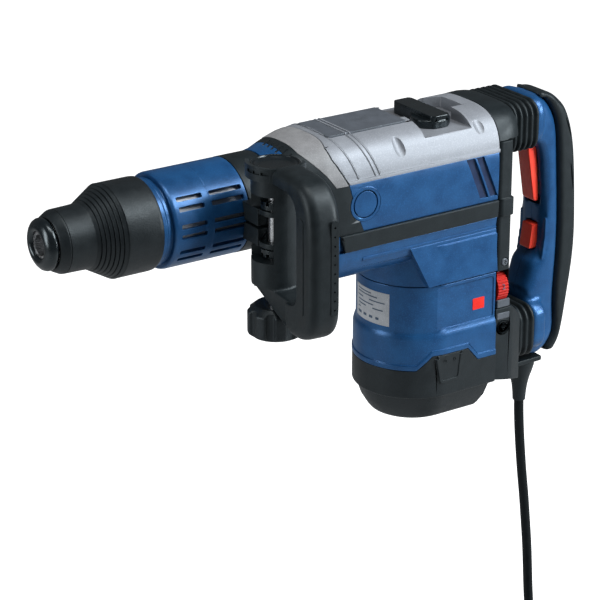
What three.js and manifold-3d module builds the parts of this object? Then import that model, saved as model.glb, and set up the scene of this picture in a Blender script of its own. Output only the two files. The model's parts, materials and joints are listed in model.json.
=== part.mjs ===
// Electric demolition hammer. Millimetres, +X along the tool axis towards the chisel,
// +Y the tool's left side, +Z up. The origin is on the tool axis, at the middle of the
// collar where the auxiliary handle clamps.
import * as THREE from "three";
import { mergeVertices } from "three/addons/utils/BufferGeometryUtils.js";
import Module from "manifold-3d";

const wasm = await Module();
wasm.setup();

// Driving dimensions.
const GAP = 0.3; // between touching pieces
const BORE_R = 9; // 18 mm chisel shank
const NOSE_X = 190; // front of the dust cap
const SLEEVE_R = 39;
const SLEEVE_REAR_X = 95;
const BARREL_R = 40.2;
const BARREL_FRONT_X = 87;
const BARREL_REAR_X = 16;
const TUBE_R = 30; // hammer tube
const CYLINDER_R = 26; // its bore
const BODY_REAR_X = -231;
const COVER_FRONT_X = -67; // front edge of the top cover at its top
const HALF_WIDTH = 50;
const TOP_Z = 48.5;
const BELLY_Z = -77;
const FLANGE_Z = 13; // joint between the top cover and the side panels
const STRIP_Z = [-46, -30]; // side strip, low and high
const MOTOR_X = -178; // vertical motor axis
const MOTOR_TOP_Z = -96;
const BASE_Z = -223;
const CRANK_X = -140; // vertical crank axis
const CRANK_THROW = 14;
const ROD_LENGTH = 74;
const GEAR_TEETH = 41;
const PINION_TEETH = 8;
const GEAR_Z = [-26, -16];
const GEAR_MODULE = (2 * (CRANK_X - MOTOR_X)) / (GEAR_TEETH + PINION_TEETH);
const FRAME_REAR_X = -247;
const BLOCK_REAR_X = -256; // upper block that carries the bellows
const ARM_X = -286; // front of the handle's upper arm
const FOOT_X = -291; // front of the handle's foot
const LOWER_REAR_X = -268; // lower rear housing
const PIVOT = [-279, -172]; // handle pivot, X and Z
const LEVER = { x: -184, y: 12, reach: 42, floor: 37.5, top: 48.8 };
const BOLT = { x: 10, y: 68 }; // clamp bolt of the auxiliary handle
const BOW_TURN = -0.09; // the bow points a little forward
const WHEEL = { x: -239, y: 35.5, z: -114.5, r: 16 };
const CORD_D = 9;
const FLOOR_Z = -520; // surface that the coil lies on
const COIL = { x: -269, y: 91, inner: 34, outer: 68, height: 38 };

const paint = (colour, roughness, metalness = 0) =>
  new THREE.MeshStandardMaterial({ color: colour, roughness, metalness });
const BLUE = paint(0x17509b, 0.45);
const BLACK = paint(0x1c1e20, 0.6);
const SOFT = paint(0x24272a, 0.8);
const RED = paint(0xd8281c, 0.4);
const SILVER = paint(0xb9bcc2, 0.35, 0.8);
const GREY = paint(0x5d6068, 0.6);
const STEEL = paint(0x9a9ea4, 0.3, 1);
const COPPER = paint(0xb06a35, 0.4, 1);

const part = new THREE.Group();

// ---------- solids ----------

// A closed three.js geometry as a solid, whichever way its faces point.
function solid(geometry) {
  const bare = geometry.clone();
  bare.deleteAttribute("normal");
  bare.deleteAttribute("uv");
  const merged = mergeVertices(bare, 1e-4);
  const vertProperties = merged.attributes.position.array;
  const triVerts = new Uint32Array(merged.index.array);
  const made = new wasm.Manifold(new wasm.Mesh({ numProp: 3, vertProperties, triVerts }));
  if (made.volume() > 0) return made;
  for (let i = 0; i < triVerts.length; i += 3) {
    [triVerts[i + 1], triVerts[i + 2]] = [triVerts[i + 2], triVerts[i + 1]];
  }
  return new wasm.Manifold(new wasm.Mesh({ numProp: 3, vertProperties, triVerts }));
}

function join(...solids) {
  return solids.reduce((sum, next) => sum.add(next));
}

function cut(base, ...tools) {
  return tools.reduce((left, tool) => left.subtract(tool), base);
}

function add(name, shape, material) {
  const mesh = shape.getMesh();
  const geometry = new THREE.BufferGeometry();
  geometry.setAttribute("position", new THREE.BufferAttribute(mesh.vertProperties, 3));
  geometry.setIndex(new THREE.BufferAttribute(mesh.triVerts, 1));
  geometry.computeVertexNormals();
  const node = new THREE.Mesh(geometry, material);
  node.name = name;
  part.add(node);
}

function box(x, y, z) {
  const geometry = new THREE.BoxGeometry(x[1] - x[0], y[1] - y[0], z[1] - z[0]);
  geometry.translate((x[0] + x[1]) / 2, (y[0] + y[1]) / 2, (z[0] + z[1]) / 2);
  return solid(geometry);
}

// A solid of revolution. Profile points are [position along the axis, radius].
function turned(profile, axis, sides = 30) {
  const points = profile.map(([along, r]) => new THREE.Vector2(r, along));
  const onAxis = profile[0][1] === 0;
  if (!onAxis) points.push(points[0].clone());
  const geometry = new THREE.LatheGeometry(points, sides);
  if (axis === "x") geometry.rotateZ(-Math.PI / 2);
  if (axis === "z") geometry.rotateX(Math.PI / 2);
  return solid(geometry);
}

function rod(r, from, to, axis, sides = 16) {
  return turned([[from, 0], [from, r], [to, r], [to, 0]], axis, sides);
}

function ring(outer, inner, from, to, axis, sides = 30) {
  return turned([[from, inner], [from, outer], [to, outer], [to, inner]], axis, sides);
}

// Each corner of a closed outline moved in by distance along its two sides' mean normal.
function insetOutline(points, distance) {
  const count = points.length;
  const turn = Math.sign(THREE.ShapeUtils.area(points.map(([a, b]) => new THREE.Vector2(a, b))));
  return points.map(([a, b], i) => {
    const [pa, pb] = points[(i + count - 1) % count];
    const [na, nb] = points[(i + 1) % count];
    const before = new THREE.Vector2(a - pa, b - pb).normalize();
    const after = new THREE.Vector2(na - a, nb - b).normalize();
    const mean = before.clone().add(after).normalize();
    const reach = (turn * distance) / Math.max(0.5, mean.dot(after));
    return [a - mean.y * reach, b + mean.x * reach];
  });
}

// A flat outline pushed out along an axis: [x, z] along Y, [x, y] along Z, [y, z] along X.
// The edges of its two ends are rounded by the given radius.
function prism(outline, from, to, axis, round = 0) {
  const vectors = (list) => list.map(([a, b]) => new THREE.Vector2(a, b));
  const points = THREE.ShapeUtils.area(vectors(outline)) > 0 ? outline : [...outline].reverse();
  const steps = round > 0 ? [0, 1, 2] : [0];
  const levels = [];
  for (const [end, sign] of [[from, 1], [to, -1]]) {
    const side = steps.map((i) => {
      const angle = (Math.PI / 4) * i;
      return [end + sign * round * (1 - Math.sin(angle)), round * (1 - Math.cos(angle))];
    });
    levels.push(...(sign > 0 ? side.reverse() : side));
  }
  const place = { x: (a, b, h) => [h, a, b], y: (a, b, h) => [a, h, b], z: (a, b, h) => [a, b, h] };
  const count = points.length;
  const positions = levels.flatMap(([height, inset]) =>
    (inset > 0 ? insetOutline(points, inset) : points).flatMap(([a, b]) => place[axis](a, b, height)));
  const flat = vectors(points);
  const caps = THREE.ShapeUtils.triangulateShape(flat, []);
  const forward = THREE.ShapeUtils.area(caps[0].map((corner) => flat[corner])) > 0;
  const index = [];
  for (let level = 0; level + 1 < levels.length; level++) {
    for (let i = 0; i < count; i++) {
      const a = level * count + i;
      const b = level * count + ((i + 1) % count);
      index.push(a, b, a + count, b, b + count, a + count);
    }
  }
  const last = (levels.length - 1) * count;
  for (const [a, b, c] of caps) {
    const [p, q] = forward ? [b, c] : [c, b];
    index.push(a, q, p, a + last, p + last, q + last);
  }
  const geometry = new THREE.BufferGeometry();
  geometry.setAttribute("position", new THREE.Float32BufferAttribute(positions, 3));
  geometry.setIndex(index);
  return solid(geometry);
}

// A skin through closed loops of points, with flat ends.
function loft(loops) {
  const count = loops[0].length;
  const positions = loops.flat().flatMap((p) => [p.x, p.y, p.z]);
  const index = [];
  for (let ring = 0; ring + 1 < loops.length; ring++) {
    for (let i = 0; i < count; i++) {
      const a = ring * count + i;
      const b = ring * count + ((i + 1) % count);
      index.push(a, b, a + count, b, b + count, a + count);
    }
  }
  for (const [ring, flip] of [[0, true], [loops.length - 1, false]]) {
    const centre = positions.length / 3;
    const middle = new THREE.Vector3();
    loops[ring].forEach((p) => middle.addScaledVector(p, 1 / count));
    positions.push(middle.x, middle.y, middle.z);
    for (let i = 0; i < count; i++) {
      const a = ring * count + i;
      const b = ring * count + ((i + 1) % count);
      index.push(...(flip ? [centre, b, a] : [centre, a, b]));
    }
  }
  const geometry = new THREE.BufferGeometry();
  geometry.setAttribute("position", new THREE.Float32BufferAttribute(positions, 3));
  geometry.setIndex(index);
  return solid(geometry);
}

// A smooth closed or open curve through points, as a list of points.
function smooth(points, steps, closed = false) {
  const curve = new THREE.CatmullRomCurve3(
    points.map(([a, b]) => new THREE.Vector3(a, b, 0)), closed, "centripetal");
  return curve.getPoints(steps).map((p) => [p.x, p.y]);
}

function roundRect(a, b, r, steps = 4) {
  const points = [];
  const corners = [[a[1] - r, b[1] - r], [a[0] + r, b[1] - r], [a[0] + r, b[0] + r], [a[1] - r, b[0] + r]];
  for (const [quarter, [ca, cb]] of corners.entries()) {
    for (let i = 0; i <= steps; i++) {
      const angle = (Math.PI / 2) * (quarter + i / steps);
      points.push([ca + r * Math.cos(angle), cb + r * Math.sin(angle)]);
    }
  }
  return points;
}

// ---------- chuck ----------

function makeDustCap() {
  const profile = [[180.5, 15.8], [180.5, 19.6], [182, 21.5], [184.5, 21.5], [187.5, 19.6],
    [189.6, 16.2], [NOSE_X, 13.4], [189.2, 11.2], [187.2, BORE_R + 1], [181, BORE_R + 1]];
  const seat = ring(17.8, 5, 150, 187.5, "x");
  add("dust_cap", cut(turned(profile, "x"), seat), SOFT);
}

function makeLockingSleeve() {
  const outline = [[180, 18.4], [180, 22], [173.5, 26], [150, 26.6]];
  for (let groove = 0; groove < 3; groove++) {
    const x = 148.5 - groove * 6.2;
    const r = 27.9 + groove * 3.9;
    outline.push([x, r], [x - 0.9, r - 0.5], [x - 1.7, r + 0.9]);
  }
  outline.push([129.5, 38.6], [127, SLEEVE_R], [99, SLEEVE_R], [SLEEVE_REAR_X + 0.8, 38.4],
    [SLEEVE_REAR_X, 37.6], [SLEEVE_REAR_X, 37.2], [112, 37.2], [124, 35.5], [133, 31], [139, 25],
    [170, 24.5], [172, 20.5], [175.5, 18.4]);
  add("locking_sleeve", turned(outline, "x", 36), BLACK);
}

function makeToolHolder() {
  const body = turned([[100, BORE_R], [100, 25.5], [105, 25.5], [107, 17.5], [187, 17.5],
    [187, BORE_R]], "x");
  const windows = box([139, 161], [-20, 20], [-4.3, 4.3]);
  const core = ring(30, 13.2, 138, 162, "x");
  add("tool_holder", cut(body, windows.intersect(core)), STEEL);
  for (const [side, name] of [[1, "left"], [-1, "right"]]) {
    const roller = rod(3.8, 141, 159, "x", 16).translate([0, side * 17.4, 0]);
    add(`locking_roller_${name}`, roller, STEEL);
  }
}

function helix(r, wire, from, to, turns) {
  const steps = turns * 12;
  const points = [];
  for (let i = 0; i <= steps; i++) {
    const angle = (2 * Math.PI * i) / 12;
    const x = from + ((to - from) * i) / steps;
    points.push(new THREE.Vector3(x, r * Math.cos(angle), r * Math.sin(angle)));
  }
  const section = new THREE.Shape();
  for (let i = 0; i < 4; i++) {
    const angle = (Math.PI / 2) * i;
    section[i ? "lineTo" : "moveTo"](wire * Math.cos(angle), wire * Math.sin(angle));
  }
  const extrudePath = new THREE.CatmullRomCurve3(points);
  return solid(new THREE.ExtrudeGeometry(section, { steps, bevelEnabled: false, extrudePath }));
}

// ---------- barrel and hammer mechanism ----------

function makeBarrel() {
  const shell = turned([[BARREL_REAR_X + GAP, 36], [BARREL_REAR_X + GAP, BARREL_R], [84, BARREL_R],
    [86.2, 39.2], [BARREL_FRONT_X, 38], [BARREL_FRONT_X, 35.4], [88.2, 35.2], [88.4, 36.5],
    [101, 36.5], [101, 32.6], [84, 32.6], [80, 36]], "x", 40);
  const slots = [];
  const banks = [[55, 74], [22, 48]];
  const pairs = 9;
  for (const [from, to] of banks) {
    for (let pair = 0; pair < pairs; pair++) {
      for (const offset of [-5.2, 5.2]) {
        const slot = box([from, to], [33, 44], [-1.6, 1.6]);
        slots.push(slot.rotate([(360 / pairs) * pair + offset + 14, 0, 0]));
      }
    }
  }
  add("barrel", cut(shell, ...slots), BLUE);
}

function makeHammerTube() {
  const collar = [[20, TUBE_R], [20, 35.6], [17, 35.6], [17, TUBE_R]];
  const profile = [[97, CYLINDER_R], [97, TUBE_R], ...collar, [-92, TUBE_R], [-92, CYLINDER_R]];
  add("hammer_tube", turned(profile, "x"), STEEL);
}

function makeHammerPieces() {
  const bolt = [[45, 0], [45, 13], [62, 13], [62, CYLINDER_R - GAP], [70, CYLINDER_R - GAP],
    [70, BORE_R - 0.5], [103, BORE_R - 0.5], [104, 7.5], [104, 0]];
  add("impact_bolt", turned(bolt, "x", 32), STEEL);
  const striker = [[-5, 0], [-5, CYLINDER_R - GAP], [26, CYLINDER_R - GAP], [30, 14], [30, 0]];
  add("striker", turned(striker, "x", 32), STEEL);
  const piston = cut(rod(CYLINDER_R - GAP, -60, -25, "x", 32), box([-61, -34], [-11, 11], [-16, 16]),
    rod(4.3, -30, 30, "z", 16).translate([-48, 0, 0]));
  add("piston", piston, SILVER);
  add("wrist_pin", rod(4, -19.5, 19.5, "z", 16).translate([-48, 0, 0]), STEEL);
  const eye = -48 - ROD_LENGTH;
  const shank = prism(roundRect([eye + 8, -54], [-7, 7], 2, 2), -5, 5, "z");
  const ends = [rod(9, -6, 6, "z").translate([-48, 0, 0]), rod(12, -6, 6, "z").translate([eye, 0, 0])];
  const smallHole = rod(4.3, -9, 9, "z").translate([-48, 0, 0]);
  const bigHole = rod(6.2, -9, 9, "z").translate([eye, 0, 0]);
  add("connecting_rod", cut(join(shank, ...ends), smallHole, bigHole), STEEL);
}

// A spur gear outline with straight-sided teeth that leave backlash.
function gearOutline(teeth, phase) {
  const pitch = (GEAR_MODULE * teeth) / 2;
  const tip = pitch + 0.72 * GEAR_MODULE;
  const root = pitch - 1.05 * GEAR_MODULE;
  const step = (2 * Math.PI) / teeth;
  const points = [];
  for (let tooth = 0; tooth < teeth; tooth++) {
    for (const [r, shift] of [[root, -0.27], [tip, -0.1], [tip, 0.1], [root, 0.27]]) {
      const angle = (tooth + shift) * step + phase;
      points.push([r * Math.cos(angle), r * Math.sin(angle)]);
    }
  }
  return points;
}

function makeDrive() {
  const gear = prism(gearOutline(GEAR_TEETH, Math.PI), ...GEAR_Z, "z");
  const pin = rod(5.6, GEAR_Z[1] - 1, -6.6, "z").translate([CRANK_THROW, 0, 0]);
  const axle = rod(7, -44, GEAR_Z[0] + 1, "z");
  const lighten = [0, 1, 2, 3, 4].map((i) =>
    rod(5, -30, -10, "z", 16).translate([20, 0, 0]).rotate([0, 0, 60 + i * 60]));
  add("crank_gear", cut(join(gear, pin, axle), ...lighten).translate([CRANK_X, 0, 0]), STEEL);

  const halfTooth = Math.PI / PINION_TEETH;
  const pinion = prism(gearOutline(PINION_TEETH, halfTooth), ...GEAR_Z, "z");
  const shaft = rod(4.4, -212, GEAR_Z[0] + 1, "z");
  add("armature_shaft", join(pinion, shaft).translate([MOTOR_X, 0, 0]), STEEL);
  const turning = [
    ["armature_core", ring(27, 4.7, -172, -116, "z"), COPPER],
    ["commutator", ring(14, 4.7, -196, -180, "z", 24), COPPER],
    ["inner_bearing", ring(11, 4.7, -60, -51, "z", 24), STEEL],
    ["outer_bearing", ring(11, 4.7, -211, -203, "z", 24), STEEL],
    ["stator", ring(44, 28.5, -172, -116, "z"), GREY],
  ];
  for (const [name, shape, material] of turning) add(name, shape.translate([MOTOR_X, 0, 0]), material);
  makeFan();
}

function makeFan() {
  const blades = [];
  for (let i = 0; i < 9; i++) {
    const blade = box([10, 39], [-0.9, 0.9], [-92, -80]);
    blades.push(blade.rotate([0, 0, i * 40]));
  }
  const fan = join(ring(40, 4.7, -80.5, -78.5, "z"), ring(11.5, 4.7, -92, -79, "z", 24), ...blades);
  add("cooling_fan", fan.translate([MOTOR_X, 0, 0]), SOFT);
  for (const [side, name] of [[1, "left"], [-1, "right"]]) {
    const edges = [side * 14.6, side * 30].sort((a, b) => a - b);
    add(`carbon_brush_${name}`, box([MOTOR_X - 4, MOTOR_X + 4], edges, [-193, -183]), SOFT);
  }
}

// ---------- housing ----------

// Cross-sections of the body along X: half width, height above and depth below the axis,
// and how square the upper and lower halves are.
const SECTIONS = [
  [-13.5, 40.5, 40.5, 40.5, 2, 2],
  [-22, 42, 41.5, 43, 2.1, 2.1],
  [-38, 46.5, 44.5, 56, 2.5, 2.6],
  [-55, 49.3, 47.3, 69, 2.9, 3.4],
  [-70, HALF_WIDTH, TOP_Z, -BELLY_Z, 3.2, 4.5],
  [BODY_REAR_X, HALF_WIDTH, TOP_Z, -BELLY_Z, 3.2, 4.5],
];

// The body's outer skin, moved in by inset.
function bodySkin(inset) {
  const count = 40;
  const loops = SECTIONS.map(([x, width, high, low, upper, lower]) => {
    const loop = [];
    for (let i = 0; i < count; i++) {
      const angle = (2 * Math.PI * i) / count;
      const c = Math.cos(angle);
      const s = Math.sin(angle);
      const power = 2 / (s > 0 ? upper : lower);
      const height = (s > 0 ? high : low) - inset;
      const y = (width - inset) * Math.sign(c) * Math.abs(c) ** power;
      loop.push(new THREE.Vector3(x, y, height * Math.sign(s) * Math.abs(s) ** power));
    }
    return loop;
  });
  return loft(loops);
}

// Outline of the motor housing: a round front and flat sides, moved out by grow.
function motorOutline(grow, rear = BODY_REAR_X) {
  const points = [];
  const steps = 16;
  for (let i = 0; i <= steps; i++) {
    const angle = -Math.PI / 2 + (Math.PI * i) / steps;
    points.push([MOTOR_X + (HALF_WIDTH + grow) * Math.cos(angle), (HALF_WIDTH + grow) * Math.sin(angle)]);
  }
  points.push([rear, HALF_WIDTH + grow], [rear, -HALF_WIDTH - grow]);
  return points;
}

function motorLoft(levels) {
  return loft(levels.map(([z, grow, rear]) =>
    motorOutline(grow, rear).map(([x, y]) => new THREE.Vector3(x, y, z))));
}

const frontEdge = [[-30, 70], [COVER_FRONT_X + GAP, 70], [COVER_FRONT_X + GAP, TOP_Z], [-62.7, 32],
  [-73.4, FLANGE_Z], [-77, 0], [-83, -15], [-90, STRIP_Z[1]], [-30, STRIP_Z[1]]];

function makeCovers() {
  const outer = bodySkin(0);
  const core = bodySkin(3);
  const front = prism(frontEdge, -60, 60, "y");
  const lowFront = front.translate([-GAP, 0, 0]);
  add("front_cover", cut(outer.intersect(front), core), BLACK);

  const lid = prism([[COVER_FRONT_X, 70], [COVER_FRONT_X, TOP_Z], [-63, 32], [-73.8, FLANGE_Z + GAP],
    [BODY_REAR_X, FLANGE_Z + GAP], [BODY_REAR_X, 70]], -60, 60, "y");
  const pocket = join(
    box([-206, -157], [-60, 60], [LEVER.floor, 70]),
    rod(LEVER.reach + 3, LEVER.floor, 70, "z", 40).translate([LEVER.x, LEVER.y, 0])
      .intersect(box([-218, -150], [-60, 12], [0, 80])));
  const flange = join(outer, bodySkin(-1).intersect(box([-240, -60], [-60, 60], [0, 17])));
  const floor = outer.intersect(box([-222, -150], [-60, 60], [LEVER.floor - 3, 70]));
  const thick = join(cut(flange, bodySkin(4)), floor).intersect(lid);
  const seat = rod(6.3, 20, 60, "z").translate([LEVER.x, LEVER.y, 0]);
  const inlayBed = box([-151.5, COVER_FRONT_X - 4], [-22.8, 22.8], [TOP_Z - 2.2, 70]);
  add("top_cover", cut(thick, pocket, seat, inlayBed), SILVER);
  const inlay = box([-151.2, COVER_FRONT_X - 4.3], [-22.5, 22.5], [TOP_Z - 1.9, TOP_Z + 0.4]);
  add("top_inlay", inlay, GREY);

  const slots = [[-195, 8], [-211, 7]].map(([x, width]) => prism([[x, 12], [x - width, 12],
    [x - width - 17.5, -27], [x - 17.5, -27]], HALF_WIDTH - 1.6, 60, "y"));
  for (const [side, name] of [[1, "left"], [-1, "right"]]) {
    const half = side > 0 ? box([-240, 0], [0, 70], [-90, 70]) : box([-240, 0], [-70, 0], [-90, 70]);
    const band = box([BODY_REAR_X, -70], [-70, 70], [STRIP_Z[1] + GAP, FLANGE_Z]);
    const panel = cut(outer.intersect(band).intersect(half), core, lowFront,
      ...slots.map((slot) => (side > 0 ? slot : slot.mirror([0, 1, 0]))));
    add(`side_panel_${name}`, panel, BLUE);
    const stripEdge = [[-66, STRIP_Z[1]], [-71, STRIP_Z[0] + GAP], [BODY_REAR_X, STRIP_Z[0] + GAP],
      [BODY_REAR_X, STRIP_Z[1]]];
    const strip = prism(stripEdge, -60, 60, "y").intersect(half).intersect(bodySkin(-1.5));
    add(`side_strip_${name}`, cut(strip, core, front.translate([0, 0, -0.001])), BLACK);
  }
}

function makeGearHousing() {
  const outer = bodySkin(0);
  const lower = outer.intersect(box([BODY_REAR_X, -13.5], [-60, 60], [-90, STRIP_Z[0]]));
  const collar = outer.intersect(box([-30 + GAP, -13.5], [-60, 60], [-60, 70]));
  const lowNeck = outer.intersect(box([-66, -29], [-60, 60], [-90, STRIP_Z[1] - GAP]));
  const core = bodySkin(3 + GAP).intersect(box([BODY_REAR_X, -25], [-60, 60], [-90, FLANGE_Z - GAP]));
  const neck = prism(motorOutline(0), MOTOR_TOP_Z + GAP, -60, "z");
  const ringSeat = ring(37.1, TUBE_R + GAP, -20, BARREL_REAR_X, "x", 36);
  const shape = join(lower, collar, lowNeck, core, neck, ringSeat);
  const tubeBore = rod(TUBE_R + GAP + 0.3, -113, 60, "x", 30);
  const crankRoom = rod(37, -50, 60, "z", 30).translate([CRANK_X, 0, 0]);
  const gearRoom = box([-200, CRANK_X], [-24, 24], [-47, 60]);
  const motorRoom = rod(45, -110, -68, "z", 30).translate([MOTOR_X, 0, 0]);
  const bearingSeat = rod(11 + GAP, -70, -40, "z").translate([MOTOR_X, 0, 0]);
  add("gear_housing", cut(shape, tubeBore, crankRoom, gearRoom, motorRoom, bearingSeat), BLUE);
}

// The line where the motor housing meets its base cap: it steps up at the middle of the side.
function stepLine(shift) {
  return [[-110, -173], [-150, -173], [-163, -160], [-200, -160], [-211, -173], [-260, -173]]
    .map(([x, z]) => [x, z + shift]);
}

function makeMotorHousing() {
  const below = prism([...stepLine(0), [-260, -260], [-110, -260]], -70, 70, "y");
  const nearStep = prism([...stepLine(5), [-260, -260], [-110, -260]], -70, 70, "y");
  const shell = motorLoft([[-182, 1.4], [-143, 1.4], [-139, 0], [MOTOR_TOP_Z - GAP, 0]]);
  const lip = motorLoft([[-182, 2.8], [-140, 2.8]]).intersect(nearStep);
  const hollow = motorLoft([[-190, -4, BODY_REAR_X - 1], [-80, -4, BODY_REAR_X - 1]]);
  const recess = prism(roundRect([-227, -164], [-134, -102], 4), HALF_WIDTH - 0.9, 60, "y");
  const shape = cut(join(shell, lip), below, hollow, recess, recess.mirror([0, 1, 0]));
  const back = box([BODY_REAR_X, BODY_REAR_X + 3], [-47, 47], [-150, MOTOR_TOP_Z - GAP]);
  add("motor_housing", join(shape, back), BLUE);
}

function makeBaseCap() {
  const above = prism([...stepLine(-GAP), [-260, -80], [-110, -80]], -70, 70, "y");
  const shell = motorLoft([[-150, 2], [-199, 2], [-201, -1], [-213, -5, -228], [BASE_Z, -14, -222]]);
  const hollow = motorLoft([[-150, -2, BODY_REAR_X + 3], [-199, -2, BODY_REAR_X + 3],
    [-200, -6, BODY_REAR_X + 5], [-213, -9, -224]]);
  const clip = [[-171, -163], [-196, -163], [-193, -182], [-190, -184], [-177, -184], [-174, -182]];
  const latch = prism(clip, HALF_WIDTH + 1, HALF_WIDTH + 3, "y");
  add("base_cap", join(cut(shell, above, hollow), latch, latch.mirror([0, 1, 0])), BLACK);
}

function makeRearFrame() {
  const x = [FRAME_REAR_X, BODY_REAR_X - GAP];
  const column = prism(roundRect(x, [-HALF_WIDTH, HALF_WIDTH], 4, 3), -131, 21.7, "z");
  const band = prism(roundRect([FRAME_REAR_X - 1.5, x[1]], [-51.5, 51.5], 4, 3), -46, -30, "z");
  const room = box([-244, -225], [-44, 44], [-128, 18]);
  const wheelRoom = box([WHEEL.x - 6.3, WHEEL.x + 6.3], [17, 60], [WHEEL.z - 18, WHEEL.z + 18]);
  const screwSeats = [1, -1].map((side) =>
    join(rod(3.8, 48.5, 60, "y"), rod(2.3, 40, 60, "y")).scale([1, side, 1]).translate([-240, 0, -89]));
  add("rear_frame", cut(join(column, band), room, wheelRoom, ...screwSeats), BLACK);

  const blockLoop = (bx, width, high) => {
    const loop = [];
    for (let i = 0; i <= 24; i++) {
      const angle = (Math.PI * i) / 24;
      const c = Math.cos(angle);
      const y = width * Math.sign(c) * Math.abs(c) ** 0.62;
      loop.push(new THREE.Vector3(bx, y, 22 + (high - 22) * Math.sin(angle) ** 0.62));
    }
    return loop;
  };
  const block = loft([blockLoop(BODY_REAR_X - GAP, 50, 48), blockLoop(-246, 49, 47.5),
    blockLoop(BLOCK_REAR_X, 44, 46.5)]);
  const inside = box([BLOCK_REAR_X - 1, -225], [-36, 36], [10, 40]);
  add("bellows_block", cut(block, inside), BLACK);

  const low = [[BODY_REAR_X - GAP, -131.3], [-250, -131.3], [LOWER_REAR_X, -146], [LOWER_REAR_X, -197],
    [-272, -207.8], [-316, -207.8], [-316, -213], [-276, -213], [-250, -203], [-231.3, -199]];
  const outline = [[BODY_REAR_X - GAP, -51], [-246, -51], [LOWER_REAR_X, -40], [-270, -36],
    [-272, -15], [-316, -14], [-316, 14], [-272, 15], [-270, 36], [LOWER_REAR_X, 40], [-246, 51],
    [BODY_REAR_X - GAP, 51]];
  const body = prism(low, -60, 60, "y").intersect(prism(outline, -220, -100, "z"));
  const pocket = box([-264, -225], [-37, 37], [-192, -137]);
  const lugOutline = roundRect([PIVOT[0] - 7, LOWER_REAR_X + 1], [PIVOT[1] - 7, PIVOT[1] + 7], 3);
  const lug = prism(lugOutline, -6, 6, "y");
  const hole = rod(4 + GAP, -20, 20, "y").translate([PIVOT[0], 0, PIVOT[1]]);
  add("lower_rear_housing", cut(join(body, lug), pocket, hole), BLACK);
  add("handle_pivot", rod(4, -16, 16, "y").translate([PIVOT[0], 0, PIVOT[1]]), STEEL);
  add("control_module", box([-262, -238], [-30, 30], [-188, -141]), SOFT);
}

// A ribbed tube of rounded-rectangle section between two X positions.
function bellows(x, y, z, ribs, wall) {
  const loops = [];
  const steps = ribs * 2;
  for (let i = 0; i <= steps; i++) {
    const inset = i % 2 === 0 ? 2.4 : 0;
    const at = x[0] + ((x[1] - x[0]) * i) / steps;
    loops.push(roundRect([y[0] + inset, y[1] - inset], [z[0] + inset, z[1] - inset], 11)
      .map(([a, b]) => new THREE.Vector3(at, a, b)));
  }
  const inner = box([x[0] - 1, x[1] + 1], [y[0] + wall, y[1] - wall], [z[0] + wall, z[1] - wall]);
  return cut(loft(loops), inner);
}

// ---------- rear handle ----------

function makeHandle() {
  const backLine = smooth([[-300, 44.5], [-313, 33], [-322, 12], [-325.5, -30], [-328, -75],
    [-328, -106], [-326, -150], [-327, -184], [-318, -200]], 16);
  const frontLine = smooth([[-289, -140], [-293, -133], [-296, -122], [-297, -114], [-303, -107],
    [-306, -98], [-306, -62], [-304.5, -30], [-302, -6], [-293, 1.5]], 16);
  const grip = [[ARM_X - GAP, 44.5], ...backLine, [-308, -205.5], [-299, -203], [-293, -196],
    [FOOT_X - GAP, -188], [FOOT_X - GAP, -142], ...frontLine, [ARM_X - GAP, 2]];
  const halfWidth = 19;
  const blank = prism(grip, -halfWidth, halfWidth, "y", 8);
  const arm = prism(roundRect([-28, 28], [3, 44.5], 12), ARM_X - GAP - 10, ARM_X - GAP, "x");
  const foot = prism(roundRect([-30, 30], [-192, -150], 12), FOOT_X - GAP - 12, FOOT_X - GAP, "x");
  const earOutline = roundRect([FOOT_X - 6, PIVOT[0] + 7], [PIVOT[1] - 7, PIVOT[1] + 7], 3);
  const ears = prism(earOutline, -14, 14, "y");
  const tongueGap = box([-288, -260], [-6 - GAP, 6 + GAP], [-190, -150]);
  const pinHole = rod(4 + GAP, -30, 30, "y").translate([PIVOT[0], 0, PIVOT[1]]);
  const switchRoom = box([-321, -308], [-10, 10], [-62, -2]);
  const triggerSlot = box([-316, -280], [-8.8, 8.8], [-62, -2]);
  const buttonSlot = box([-315, -290], [-7.8, 7.8], [-105, -79]);
  const joined = join(blank, arm, foot, cut(ears, tongueGap));
  const whole = cut(joined, pinHole, switchRoom, triggerSlot, buttonSlot);
  for (const [side, name] of [[1, "left"], [-1, "right"]]) {
    const y = side > 0 ? [GAP / 2, 60] : [-60, -GAP / 2];
    add(`handle_shell_${name}`, whole.intersect(box([-400, -200], y, [-300, 100])), BLUE);
  }
  const outerLine = smooth([[-304, 46.5], [-319, 40], [-334, 22], [-343, -11], [-347.5, -71],
    [-347.5, -110], [-342.5, -150], [-335.5, -190], [-326, -206]], 16);
  const strip = prism([...outerLine, [-309, -196], [-309, 26]], -17, 17, "y", 6);
  const seat = prism(insetOutline(grip, -GAP), -halfWidth - GAP, halfWidth + GAP, "y", 8);
  add("handle_grip_strip", cut(strip, seat), SOFT);

  const trigger = [[-295.5, -3.5], [-305, -3.5], [-308, -30], [-310, -58], [-306, -58.5], [-304, -56]];
  add("trigger", prism(trigger, -8.4, 8.4, "y", 1.2), RED);
  const button = [[-304.5, -80.5], [-311, -80.5], [-311, -103.5], [-301.5, -103.5]];
  add("lock_button", prism(button, -7.4, 7.4, "y", 1), RED);
  add("switch_body", box([-320.6, -317], [-9.5, 9.5], [-56, -10]), SOFT);
}

// ---------- controls ----------

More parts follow.
